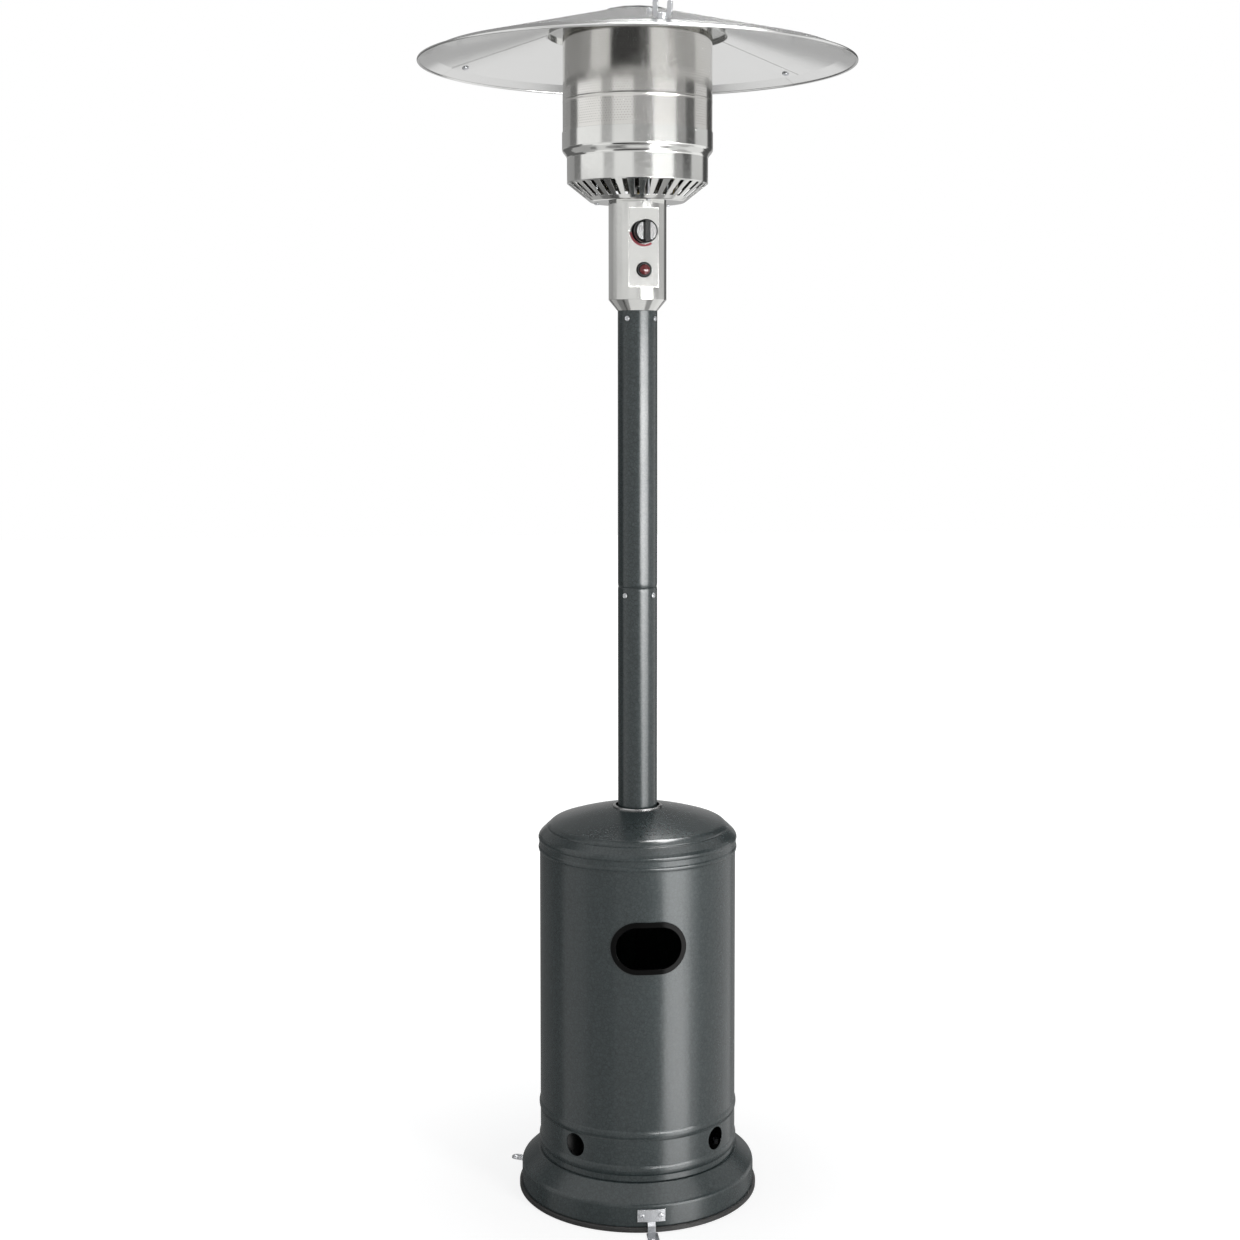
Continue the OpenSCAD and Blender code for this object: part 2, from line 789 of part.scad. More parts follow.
// Rubber grommet: a lip on each side of the sheet and a groove round its edge
module hand_hole_trim() {
  groove_w = hand_w - 2 * hand_overlap - 2 * slip;
  groove_h = hand_h - 2 * hand_overlap - 2 * slip;
  color(black)
    difference() {
      intersection() {
        tube(drum_r + hand_out, drum_in - hand_in, hand_z - 80, 160);
        hand_bar(hand_w, hand_h);
      }
      hand_bar(hand_w - 2 * hand_lip, hand_h - 2 * hand_lip);
      difference() {
        tube(drum_r + slip, drum_in - slip, hand_z - 90, 180);
        hand_bar(groove_w, groove_h);
      }
    }
}

// Control head

module control_housing() {
  color(steel)
    on_head()
      difference() {
        difference() {
          rotate_extrude()
            polygon([[0, head_z], [neck_r, head_z], [tube_r, tube_z], [tube_r, bowl_z], [0, bowl_z]]);
          translate([-far / 2, -flat_y - far, flat_z]) cube([far, far, flat_h]);
        }
        difference() {
          rotate_extrude()
            polygon([
              [0, head_z + tube_t], [neck_r - tube_t * 0.6, head_z + tube_t],
              [tube_r - tube_t, tube_z + tube_t * 0.4], [tube_r - tube_t, bowl_z - tube_t],
              [0, bowl_z - tube_t]]);
          translate([-far / 2, -flat_in - far, flat_z - tube_t]) cube([far, far, flat_h + 2 * tube_t]);
        }
        translate([0, 0, head_z - 1]) cylinder(r = sleeve_r - sleeve_t - 3, h = tube_t + 2);
        translate([0, 0, bowl_z - tube_t - 1]) cylinder(r = fit_r, h = tube_t + 2);
        for (a = four)
          rotate([0, 0, a])
            translate([tube_r - 14, 0, bowl_z - tube_t - 1])
              cylinder(r = pole_screw_r + hole_gap, h = tube_t + 2);
        translate([0, -flat_in + 5, knob_z])
          rotate([90, 0, 0]) cylinder(r = valve_neck_r + hole_gap, h = 20);
        translate([0, -flat_in + 5, igniter_z])
          rotate([90, 0, 0]) cylinder(r = barrel_r + hole_gap, h = 20);
      }
}

module front_panel() {
  half = panel_w / 2 - panel_corner;
  low = flat_z + 1 - knob_z;
  high = flat_z + flat_h - 1 - knob_z;
  color(steel)
    outward(panel_y, knob_z)
      linear_extrude(height = panel_t)
        difference() {
          union() {
            translate([-half - panel_corner, low + panel_corner])
              square([2 * half + 2 * panel_corner, high - low - 2 * panel_corner]);
            translate([-half, low]) square([2 * half, high - low]);
            for (x = [-half, half])
              for (y = [low + panel_corner, high - panel_corner])
                translate([x, y]) circle(r = panel_corner);
          }
          circle(r = valve_neck_r + hole_gap);
          translate([0, igniter_z - knob_z]) circle(r = barrel_r + hole_gap);
        }
}

// Valve: a block behind the panel, with a neck that holds the turning plug
module valve_body() {
  color(brassy)
    difference() {
      union() {
        on_head()
          translate([-valve_w / 2, -valve_front, valve_bottom])
            cube([valve_w, valve_front + valve_rear, valve_h]);
        outward(valve_front - 1, knob_z)
          cylinder(r = valve_neck_r + 4, h = flat_in - slip - valve_front + 1);
        outward(valve_front - 1, knob_z)
          cylinder(r = valve_neck_r, h = panel_face + nut_t + 1 - valve_front + 1);
      }
      outward(plug_back - run_fit, knob_z)
        cylinder(r = plug_r + run_fit, h = panel_face + 20);
    }
}

module valve_nut() {
  color(zinc)
    outward(panel_face, knob_z)
      difference() {
        cylinder(r = valve_neck_r + 3.4, h = nut_t, $fn = 6);
        translate([0, 0, -1]) cylinder(r = valve_neck_r + slip, h = nut_t + 2);
      }
}

module valve_inlet() {
  color(brassy)
    on_head()
      translate([0, inlet_y - inlet_hex * 0.2, valve_bottom - inlet_hex - inlet_len]) {
        translate([0, 0, inlet_len]) cylinder(r = inlet_r + 2.5, h = inlet_hex, $fn = 6);
        cylinder(r = inlet_r, h = inlet_len + 1);
      }
}

module valve_plug() {
  color(zinc)
    difference() {
      outward(plug_back, knob_z) cylinder(r = plug_r, h = plug_front - plug_back);
      intersection() {
        outward(plug_back + 3, knob_z) cylinder(r = plug_bore_r, h = far);
        outward(plug_back + 2, knob_z)
          translate([-far / 2, -far + stem_r * 0.76 + run_fit, 0]) cube([far, far, far]);
      }
    }
}

// Stem with a flat on its upper side
module valve_stem() {
  color(zinc)
    intersection() {
      outward(stem_back, knob_z) cylinder(r = stem_r, h = stem_front - stem_back);
      outward(stem_back - 1, knob_z)
        translate([-far / 2, -far + stem_r * 0.76, 0]) cube([far, far, far]);
    }
}

module control_knob() {
  color(black)
    difference() {
      union() {
        outward(knob_back, knob_z)
          rotate_extrude()
            polygon([
              [0, 0], [knob_r, 0], [knob_r, knob_base - 2], [knob_r - 2, knob_base], [0, knob_base]]);
        outward(knob_front - 1, knob_z)
          linear_extrude(height = knob_grip_h + 1)
            intersection() {
              square([knob_grip_w, 2 * knob_r], center = true);
              circle(r = knob_r - 2.2);
            }
        outward(knob_front - 1, knob_z)
          linear_extrude(height = knob_grip_h * 0.35 + 1)
            intersection() {
              difference() {
                circle(r = knob_r - 2.2);
                square([4 * knob_r, 2 * knob_r - 12], center = true);
              }
              square([2.6 * knob_grip_w, 2 * knob_r], center = true);
            }
      }
      outward(knob_back - 1, knob_z) cylinder(r = valve_neck_r + 5, h = knob_recess + 1);
      intersection() {
        outward(knob_back - 1, knob_z) cylinder(r = stem_r + run_fit, h = stem_front + 0.2 - knob_back + 1);
        outward(knob_back - 2, knob_z)
          translate([-far / 2, -far + stem_r * 0.76 + run_fit, 0]) cube([far, far, far]);
      }
    }
}

// Two bright half-moons beside the grip
module knob_inserts() {
  color(zinc)
    outward(knob_front + cap_gap, knob_z)
      linear_extrude(height = insert_t)
        intersection() {
          circle(r = knob_r - 3);
          for (s = [-1, 1])
            translate([s * (knob_grip_w / 2 + 0.3 + knob_r / 2), 0])
              square([knob_r, 2 * knob_r - 12.6], center = true);
        }
}

module igniter_body() {
  color(black)
    difference() {
      outward(6, igniter_z) cylinder(r = barrel_r, h = bezel_face - 0.5 - 6);
      outward(button_back - button_travel - 1, igniter_z) cylinder(r = button_r + run_fit, h = far);
    }
}

module igniter_bezel() {
  color(black)
    outward(panel_face, igniter_z)
      rotate_extrude()
        polygon([
          [barrel_r + slip, 0], [bezel_r, 0], [bezel_r, 1.4],
          [bezel_r - 1.6, bezel_face - panel_face], [barrel_r + slip, bezel_face - panel_face]]);
}

module igniter_button() {
  color(red)
    outward(button_back, igniter_z)
      rotate_extrude()
        polygon(concat(
          [[0, 0], [button_r, 0]],
          shoulder(0, button_r, button_face - button_back - 4, 4, 8)));
}

// Tip-over switch on the rear wall of the control tube
module tilt_switch() {
  w = 20;
  back = sqrt(pow(tube_r - tube_t - slip, 2) - pow(w / 2, 2));
  color(black)
    on_head()
      translate([-w / 2, back - 15, flat_z]) cube([w, 15, 30]);
}

// Burner

module gas_pipe() {
  color(brassy)
    translate([0, 0, valve_top]) cylinder(r = pipe_r, h = bowl_z + 7 - valve_top);
}

module injector() {
  color(brassy)
    translate([0, 0, bowl_z + 7]) {
      cylinder(r = 8, h = 10, $fn = 6);
      translate([0, 0, 9]) cylinder(r1 = 5, r2 = 3, h = 8);
    }
}

// Mixing tube on the bowl's floor, with four air windows round the injector
module burner_tube() {
  color(steel)
    on_head()
      difference() {
        tube(mixer_r, mixer_r - 1.5, bowl_z + steel_t, mixer_len);
        for (a = [0, 90])
          rotate([0, 0, a])
            translate([-far / 2, -6, bowl_z + 10]) cube([far, 12, 18]);
      }
}

module burner_head() {
  low = bowl_z + steel_t + mixer_len;
  color(steel)
    on_head()
      difference() {
        translate([0, 0, low]) cylinder(r = burner_r, h = burner_h);
        translate([0, 0, low + steel_t]) cylinder(r = burner_r - steel_t, h = burner_h - 2 * steel_t);
        translate([0, 0, low - 1]) cylinder(r = mixer_r - 1.5, h = 5);
        for (i = [0 : 23])
          rotate([0, 0, i * 15])
            translate([burner_r - 6, -1.2, low + 7]) cube([12, 2.4, burner_h - 14]);
      }
}

// Post on the bowl's floor: foot nut, stem and tip
module post(angle, nut_r, stem, tip_r, height) {
  on_head()
    rotate([0, 0, angle])
      translate([burner_r + 14, 0, bowl_z + steel_t]) {
        cylinder(r = nut_r, h = 7, $fn = 6);
        cylinder(r = stem, h = height - 8);
        translate([0, 0, height - 12]) cylinder(r = tip_r, h = 12);
      }
}

module pilot_burner() { color(brassy) post(0, 7, 3, 5, mixer_len + 12); }

module thermocouple() { color(steel) post(16, 5, 1.6, 2.6, mixer_len + 24); }

module spark_electrode() { color([0.92, 0.90, 0.86]) post(-16, 6, 3.6, 1.2, mixer_len + 20); }

// Screws from the bowl's floor into the top of the control tube
module bowl_screws() {
  color(zinc)
    on_head()
      for (a = four)
        rotate([0, 0, a])
          translate([tube_r - 14, 0, bowl_z + steel_t])
            pan_screw(pole_screw_r, steel_t + tube_t + 5, 4.6, 2.8);
}

// Slotted bowl: flat floor, sloping side with a ring of air slots, and a rim inside the band
module burner_bowl() {
  rim_in = band_in - slip - steel_t;
  middle = [fit_r, bowl_z];
  edge = [bowl_floor_r, bowl_z];
  rim = [bowl_r, band_z];
  slope = (rim[1] - edge[1]) / (rim[0] - edge[0]);
  rim_in_z = bowl_z + slope * (rim_in - bowl_floor_r) + steel_t * sqrt(1 + slope * slope);
  color(steel)
    on_head()
      difference() {
        rotate_extrude()
          polygon(concat(
            [middle],
            corner(middle, edge, rim, bowl_round, 0, 6),
            [rim, [band_in - slip, band_z], [band_in - slip, band_z + rim_h], [rim_in, band_z + rim_h]],
            [[rim_in, rim_in_z]],
            turned(corner(middle, edge, rim, bowl_round, steel_t, 6)),
            [[fit_r, bowl_z + steel_t]]));
        for (i = [0 : slot_count - 1])
          rotate([0, 0, (i + 0.5) * 360 / slot_count])
            translate([bowl_floor_r, -slot_w / 2, bowl_z + slot_up])
              cube([bowl_r - bowl_floor_r + 20, slot_w, slot_h]);
        for (a = four)
          rotate([0, 0, a])
            translate([tube_r - 14, 0, bowl_z - 1]) cylinder(r = pole_screw_r + hole_gap, h = steel_t + 2);
        for (a = seam_angles)
          rotate([0, 0, a])
            translate([tie_r, 0, bowl_z - 1]) cylinder(r = pole_screw_r + hole_gap, h = steel_t + 2);
      }
}

// Point on the flare's double curve, u from its foot to its top
function flare_point(r, u) = [r + flare_w * (1 - cos(180 * u)) / 2, flare_z + flare_h * u];

// Straight band, flare, and the wider band that holds the emitter on an inner ledge
module emitter_band() {
  ledge_r = emitter_in - 0.8;
  ledge_at = acos(1 - 2 * (ledge_r - band_in) / flare_w) / 180;
  color(steel)
    on_head()
      rotate_extrude()
        polygon(concat(
          [[band_in, band_z], [band_r, band_z]],
          [for (i = [0 : 8]) flare_point(band_r, i / 8)],
          [[band_top_r, band_top_z], [band_top_r - steel_t, band_top_z],
           [band_top_r - steel_t, emitter_z], [ledge_r, emitter_z]],
          [for (i = [6 : -1 : 0]) flare_point(band_in, ledge_at * i / 6)]));
}

module emitter_screen() {
  color(steel)
    on_head()
      rotate_extrude() {
        translate([emitter_in, emitter_z]) square([emitter_t, emitter_len]);
        bead_profile(emitter_r, emitter_z + emitter_bead_up, 0.7, 2, emitter_t);
      }
}

// Round plate with a turned-down lip and a ring that centres it in the emitter
module emitter_top_plate() {
  ring_r = emitter_in - slip;
  color(steel)
    on_head()
      difference() {
        rotate_extrude()
          polygon([
            [0, plate_z], [ring_r - steel_t, plate_z], [ring_r - steel_t, plate_z - 10],
            [ring_r, plate_z - 10], [ring_r, plate_z], [top_plate_r - steel_t, plate_z],
            [top_plate_r - steel_t, plate_z - top_lip], [top_plate_r, plate_z - top_lip],
            [top_plate_r, plate_top], [0, plate_top]]);
        for (a = seam_angles) {
          rotate([0, 0, a])
            translate([tie_r, 0, plate_z - 1]) cylinder(r = pole_screw_r + hole_gap, h = steel_t + 2);
          rotate([0, 0, a + 60 - head_yaw])
            translate([standoff_r, 0, plate_z - 1]) cylinder(r = pole_screw_r + hole_gap, h = steel_t + 2);
        }
      }
}

// Long rods that clamp the bowl, the band, the emitter and the top plate together
module tie_rods() {
  color(zinc)
    on_head()
      for (a = seam_angles)
        rotate([0, 0, a])
          translate([tie_r, 0, 0]) {
            translate([0, 0, bowl_z]) mirror([0, 0, 1]) pan_head(4.6, rod_head);
            translate([0, 0, bowl_z - rod_head / 2])
              cylinder(r = pole_screw_r, h = plate_top + 7 - bowl_z + rod_head / 2, $fn = 32);
            translate([0, 0, plate_top]) cylinder(r = 4.6, h = 4, $fn = 6);
          }
}

// Reflector

module reflector_standoffs() {
  color(zinc)
    for (a = seam_angles)
      rotate([0, 0, a + 60])
        translate([standoff_r, 0, 0]) tube(7, pole_screw_r + hole_gap, plate_top, standoff_len);
}

// Section of the panel's sheet from radius r_in to the rim, lowered by drop
module sheet_profile(r_in, thick, drop) {
  inner = r_in < centre_flat_r ? [[r_in, centre_z - drop], [centre_flat_r, centre_z - drop]]
    : [[r_in, cone_z(r_in) - drop]];
  under = r_in < centre_flat_r ? [[centre_flat_r, centre_z - drop - thick], [r_in, centre_z - drop - thick]]
    : [[r_in, cone_z(r_in) - drop - thick]];
  edge_r = rim_r - roll_r;
  edge_z = rim_z + roll_r * tan(lip_slope);
  polygon(concat(
    inner, [[crease_r, crease_z - drop], [edge_r, edge_z - drop]],
    [[edge_r, edge_z - drop - thick], [crease_r, crease_z - drop - thick]], under));
}

// Bolt place on the cone: the seat is on the underside of the lap, the axis square to the sheet
module on_cone(angle, r) {
  rotate([0, 0, angle])
    translate([r, 0, cone_z(r)])
      rotate([0, cone_slope, 0])
        children();
}

// One third of the reflector, with a lowered lap that runs under its neighbour
module reflector_panel(seam) {
  start = seam + lap_angle / 2;
  turn = 120;
  color(alloy)
    difference() {
      union() {
        rotate([0, 0, start + 0.05])
          rotate_extrude(angle = turn - 0.1) {
            sheet_profile(centre_hole_r, panel_sheet, 0);
            translate([rim_r - roll_r, rim_z + roll_r * 0.3]) circle(r = roll_r, $fn = 32);
          }
        rotate([0, 0, start + 0.15])
          rotate_extrude(angle = 1.2)
            difference() {
              sheet_profile(centre_flat_r + 31, panel_sheet * 1.1, panel_sheet / 2);
              translate([crease_r - 1, rim_z - 40]) square([60, 100]);
            }
        rotate([0, 0, start - lap_angle])
          rotate_extrude(angle = lap_angle + 0.6)
            difference() {
              sheet_profile(centre_flat_r + 30, panel_sheet, lap_drop);
              translate([crease_r, rim_z - 40]) square([60, 100]);
            }
      }
      for (r = [seam_outer_r, seam_inner_r])
        for (a = [seam, seam + turn])
          on_cone(a, r) translate([0, 0, -12]) cylinder(r = 3 + hole_gap, h = 24);
      rotate([0, 0, seam + 60])
        translate([standoff_r, 0, centre_z - 10]) cylinder(r = pole_screw_r + hole_gap, h = 20);
    }
}

module reflector_panel_right() { reflector_panel(seam_angles[0]); }

module reflector_panel_rear() { reflector_panel(seam_angles[1]); }

module reflector_panel_left() { reflector_panel(seam_angles[2]); }

module reflector_cap() {
  color(alloy)
    difference() {
      translate([0, 0, centre_z + cap_gap]) cylinder(r = cap_r, h = steel_t);
      for (a = seam_angles)
        rotate([0, 0, a + 60])
          translate([standoff_r, 0, centre_z - 1]) cylinder(r = pole_screw_r + hole_gap, h = steel_t + 3);
    }
}

// Bolts from the cap through the panels and the standoffs to nuts under the top plate
module cap_bolts() {
  top = centre_z + cap_gap + steel_t;
  color(zinc)
    for (a = seam_angles)
      rotate([0, 0, a + 60])
        translate([standoff_r, 0, 0]) {
          translate([0, 0, top]) pan_screw(pole_screw_r, top - plate_z + 7, 4.6, 2.8);
          translate([0, 0, plate_z - 4]) cylinder(r = 4.6, h = 4, $fn = 6);
        }
}

// Round-headed bolts under the outer ends of the seams
module seam_bolts() {
  seat = -(lap_drop + panel_sheet) - 0.1;
  color(zinc)
    for (a = seam_angles)
      on_cone(a, seam_outer_r) {
        translate([0, 0, seat]) mirror([0, 0, 1]) pan_head(6.5, 3.6);
        translate([0, 0, seat - 1.5]) cylinder(r = 3, h = 14, $fn = 32);
      }
}

// Pressed wing nuts: a hub with two upright wings
module wing_nuts() {
  hub_h = 9;
  color(zinc)
    for (a = seam_angles)
      on_cone(a, seam_outer_r)
        translate([0, 0, 0.05])
          rotate([0, 0, wing_turn + 90])
            difference() {
              union() {
                cylinder(r1 = 8.5, r2 = 7, h = hub_h);
                for (s = [0, 180])
                  rotate([90, 0, s])
                    translate([0, 0, -1.6])
                      linear_extrude(height = 3.2)
                        polygon([
                          [4.5, 1], [wing_reach - 6, 1], [wing_reach - 2.5, 3.5], [wing_reach - 1, hub_h],
                          [wing_reach, wing_h - 5], [wing_reach - 0.8, wing_h - 1], [wing_reach - 3, wing_h],
                          [wing_reach - 6.5, wing_h], [wing_reach - 8.8, wing_h - 2],
                          [wing_reach - 9.4, hub_h + 3], [wing_reach - 11, hub_h - 1], [4.5, hub_h - 1]]);
              }
              translate([0, 0, -1]) cylinder(r = 3 + slip, h = hub_h + 2);
            }
}

// Short screws with nuts at the inner ends of the seams
module seam_screws() {
  seat = -(lap_drop + panel_sheet) - 0.1;
  color(zinc)
    for (a = seam_angles)
      on_cone(a, seam_inner_r) {
        translate([0, 0, seat]) mirror([0, 0, 1]) pan_head(5, 2.6);
        translate([0, 0, seat - 1]) cylinder(r = 3, h = 9, $fn = 32);
        translate([0, 0, 0.05]) cylinder(r = 5, h = 4, $fn = 6);
      }
}

base_pan();
base_trim();
anchor_brackets();
anchor_screws();
support_strut_right();
support_strut_rear();
support_strut_left();
strut_base_bolts();
strut_top_bolts();
pole_flange();
lower_pole();
pole_sleeve();
pole_joint_screws();
upper_pole();
head_spigot();
head_screws();
housing_drum();
housing_dome();
dome_collar();
hand_hole_trim();
control_housing();
front_panel();
valve_body();
valve_nut();
valve_inlet();
valve_plug();
valve_stem();
control_knob();
knob_inserts();
igniter_body();
igniter_bezel();
igniter_button();
tilt_switch();
gas_pipe();
injector();
burner_tube();
burner_head();
pilot_burner();
thermocouple();
spark_electrode();
bowl_screws();
burner_bowl();
emitter_band();
emitter_screen();
emitter_top_plate();
tie_rods();
reflector_standoffs();
reflector_panel_right();
reflector_panel_rear();
reflector_panel_left();
reflector_cap();
cap_bolts();
seam_bolts();
wing_nuts();
seam_screws();
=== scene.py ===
# %% [markdown]
# # A gas patio heater, dressed for the camera
# The measured model already holds every sheet, tube and screw in its place. This lesson gives each of them the
# finish it has in the shop: hammered paint, polished steel, satin aluminium. It also makes the small things
# that are easier to work out as surfaces than to cut from solids, such as the perforated emitter.
# We start by loading the frame.

# %% Load the frame
import json
import math

import bpy
import numpy as np
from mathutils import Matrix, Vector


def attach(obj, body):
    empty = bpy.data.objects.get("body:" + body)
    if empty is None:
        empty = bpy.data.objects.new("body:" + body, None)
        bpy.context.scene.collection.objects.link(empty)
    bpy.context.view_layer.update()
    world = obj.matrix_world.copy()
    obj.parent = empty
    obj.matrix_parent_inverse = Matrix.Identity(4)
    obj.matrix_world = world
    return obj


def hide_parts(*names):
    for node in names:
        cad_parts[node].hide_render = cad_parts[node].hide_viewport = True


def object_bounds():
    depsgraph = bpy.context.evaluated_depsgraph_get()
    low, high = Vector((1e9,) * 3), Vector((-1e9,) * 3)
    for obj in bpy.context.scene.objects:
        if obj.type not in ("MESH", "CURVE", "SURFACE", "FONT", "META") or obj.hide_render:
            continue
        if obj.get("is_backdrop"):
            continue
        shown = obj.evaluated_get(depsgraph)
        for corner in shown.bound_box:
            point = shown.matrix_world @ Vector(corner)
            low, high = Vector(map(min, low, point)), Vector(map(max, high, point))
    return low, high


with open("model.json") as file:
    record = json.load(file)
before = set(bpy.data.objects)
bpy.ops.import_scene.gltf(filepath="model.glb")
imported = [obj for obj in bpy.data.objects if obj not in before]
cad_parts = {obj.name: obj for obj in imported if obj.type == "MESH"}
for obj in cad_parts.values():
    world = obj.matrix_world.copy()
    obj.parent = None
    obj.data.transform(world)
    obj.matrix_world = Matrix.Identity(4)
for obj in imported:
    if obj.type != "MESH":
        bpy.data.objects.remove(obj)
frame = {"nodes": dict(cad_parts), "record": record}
node = frame["nodes"]
scene = bpy.context.scene
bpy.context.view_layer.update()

# %% [markdown]
# ## The camera
# The photographer stood about three and a half metres away, a little to the left of the front, with the lens just
# below eye height and tipped slightly down. A shifted lens keeps the pole upright while the frame still reaches the
# floor, so we use the camera's shift instead of tipping it further.

# %% Camera at the photograph's angle
camera_turn, camera_tip = -6.5, 3.36
lens = bpy.data.cameras.new("photo_camera")
lens.sensor_fit = "HORIZONTAL"
lens.sensor_width = 36.0
lens.lens = 54.8
lens.shift_x, lens.shift_y = -0.0142, -0.1132
lens.clip_end = 80.0
camera = bpy.data.objects.new("photo_camera", lens)
camera.location = (-0.400, -3.512, 1.552)
camera.rotation_euler = (math.radians(90.0 - camera_tip), 0.0, math.radians(camera_turn))
scene.collection.objects.link(camera)
scene.camera = camera
print("camera at", tuple(round(v, 3) for v in camera.location), "lens", round(lens.lens, 1), "mm")

# %% [markdown]
# ## Putting arrays into meshes
# Every new piece below is worked out as whole arrays of points. Two helpers turn them into meshes: one lists the
# quads of a grid, whose rows may close on themselves, and one hands points and faces to Blender.
# Typing faces by hand would also work, but an index formula can't miss one.

# %% Grid quads and mesh pieces
def grid_quads(rows, cols, wrap_cols=False, first=0):
    """Quads of a rows x cols grid of points numbered row by row: corner (i, j), then (i, j+1), (i+1, j+1), (i+1, j).
    With wrap_cols every row closes on itself: its last point is joined to its first."""
    i, j = np.meshgrid(np.arange(rows - 1), np.arange(cols if wrap_cols else cols - 1), indexing="ij")
    i2, j2 = i + 1, (j + 1) % cols
    return first + np.stack([i * cols + j, i * cols + j2, i2 * cols + j2, i2 * cols + j], -1).reshape(-1, 4)


def mesh_piece(name, points, faces, smooth_deg=None):
    """An object at the origin whose mesh has these points, in metres, and these faces, a list of index arrays."""
    mesh = bpy.data.meshes.new(name)
    mesh.from_pydata(np.asarray(points, float).reshape(-1, 3).tolist(), [], [f for a in faces for f in a.tolist()])
    if smooth_deg is not None:
        mesh.polygons.foreach_set("use_smooth", np.ones(len(mesh.polygons), bool))
        mesh.set_sharp_from_angle(angle=math.radians(smooth_deg))
    mesh.update()
    piece = bpy.data.objects.new(name, mesh)
    scene.collection.objects.link(piece)
    return piece


def triangles(piece):
    """Number of triangles that the piece's faces make."""
    sides = np.zeros(len(piece.data.polygons), np.int32)
    piece.data.polygons.foreach_get("loop_total", sides)
    return int((sides - 2).sum())


print("mesh helpers ready")

# %% [markdown]
# ## The studio
# The heater stands on a white sweep. Its steel and its semi-gloss paint are only as good as what they mirror, so the
# studio has what a photographer would set up: tall strips of light at the front right, white cards and black
# flags in a ring, a grey wall behind, and a ceiling with top lights. All of these show in reflections and nowhere
# else, and the ring goes on below the floor, so that a strip runs down the pole and the housing without a break.
# The world lights everything evenly. A painted backdrop picture would do the same, but plain cards can be moved
# one at a time.

# %% Small node helpers
def put(tree, kind, feeds=None, **settings):
    """Adds a shader node, sets its properties, then wires each fed input that is a socket and sets the others."""
    n = tree.nodes.new("ShaderNode" + kind)
    for key, value in settings.items():
        setattr(n, key, value)
    for key, value in (feeds or {}).items():
        if isinstance(value, bpy.types.NodeSocket):
            tree.links.new(value, n.inputs[key])
        else:
            n.inputs[key].default_value = value
    return n


def seen_directly(tree):
    """1 for camera, glossy and transmission rays, 0 for the rays that carry light to matt surfaces."""
    path = put(tree, "LightPath").outputs
    either = put(tree, "Math", {0: path["Is Camera Ray"], 1: path["Is Glossy Ray"]}, operation="MAXIMUM")
    return put(tree, "Math", {0: either.outputs[0], 1: path["Is Transmission Ray"]}, operation="MAXIMUM").outputs[0]


print("node helpers ready")

# %% World: white to look at, softer as light
world = bpy.data.worlds.new("studio_air")
scene.world = world
world.use_nodes = True
air = world.node_tree
air.nodes.clear()
look = put(air, "Background", {"Color": (1, 1, 1, 1), "Strength": 1.0})
sheen = put(air, "Background", {"Color": (1, 1, 1, 1), "Strength": 0.90})
glow = put(air, "Background", {"Color": (0.98, 0.99, 1.0, 1), "Strength": 0.46})
mirrored = put(air, "LightPath").outputs["Is Glossy Ray"]
bright = put(air, "MixShader", {0: mirrored, 1: look.outputs[0], 2: sheen.outputs[0]})
both = put(air, "MixShader", {0: seen_directly(air), 1: glow.outputs[0], 2: bright.outputs[0]})
put(air, "OutputWorld", {"Surface": both.outputs[0]})
scene.view_settings.view_transform = "Standard"
print("world set")

# %% Floor that stays white, keeps the shadow and has painted shade round the heater's foot
floor_half, floor_level = 14.0, -0.0004
# painted shade: the floor's glow is dimmer near the heater and rises to full white further out
painted_shade_until, white_from, painted_shade_level = 0.30, 1.30, 0.77
line = np.linspace(-floor_half, floor_half, 9)
fx, fy = np.meshgrid(line, line, indexing="xy")
floor = mesh_piece("floor", np.stack([fx, fy, np.full(fx.shape, floor_level)], -1), [grid_quads(*fx.shape)])
sweep = bpy.data.materials.new("white_sweep")
sweep.use_nodes = True
tree = sweep.node_tree
tree.nodes.clear()
matt = put(tree, "BsdfDiffuse", {"Color": (0.86, 0.86, 0.86, 1)})
faint = put(tree, "BsdfDiffuse", {"Color": (0.40, 0.40, 0.40, 1)})
away = put(tree, "VectorMath", {0: put(tree, "TexCoord").outputs["Object"]}, operation="LENGTH").outputs["Value"]
# painted shade round the heater's foot: glow strength grows from the near level to 1 with the distance from the heater
painted_shade_glow = put(tree, "MapRange", {0: away, 1: painted_shade_until, 2: white_from, 3: painted_shade_level, 4: 1.0}, clamp=True).outputs[0]
lift = put(tree, "Emission", {"Color": (1, 1, 1, 1), "Strength": painted_shade_glow})
shown = put(tree, "AddShader", {0: faint.outputs[0], 1: lift.outputs[0]})
pick = put(tree, "MixShader", {0: seen_directly(tree), 1: matt.outputs[0], 2: shown.outputs[0]})
put(tree, "OutputMaterial", {"Surface": pick.outputs[0]})
floor.data.materials.append(sweep)
floor.visible_glossy = False
floor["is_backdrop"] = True
print("floor", 2 * floor_half, "m wide")

# %% Sheets that glow in reflections
second_reflection, second_limit = 1.5, 1.2


def bearing(turn):
    """Unit vector on the floor towards a turn in degrees, counted to the right from the camera's own bearing."""
    a = np.radians(np.asarray(turn, float) + camera_turn)
    return np.stack([np.sin(a), -np.cos(a)], -1)


def ease(x):
    """0 below 0, 1 above 1, and a smooth cubic between them."""
    x = np.clip(x, 0.0, 1.0)
    return x * x * (3.0 - 2.0 * x)


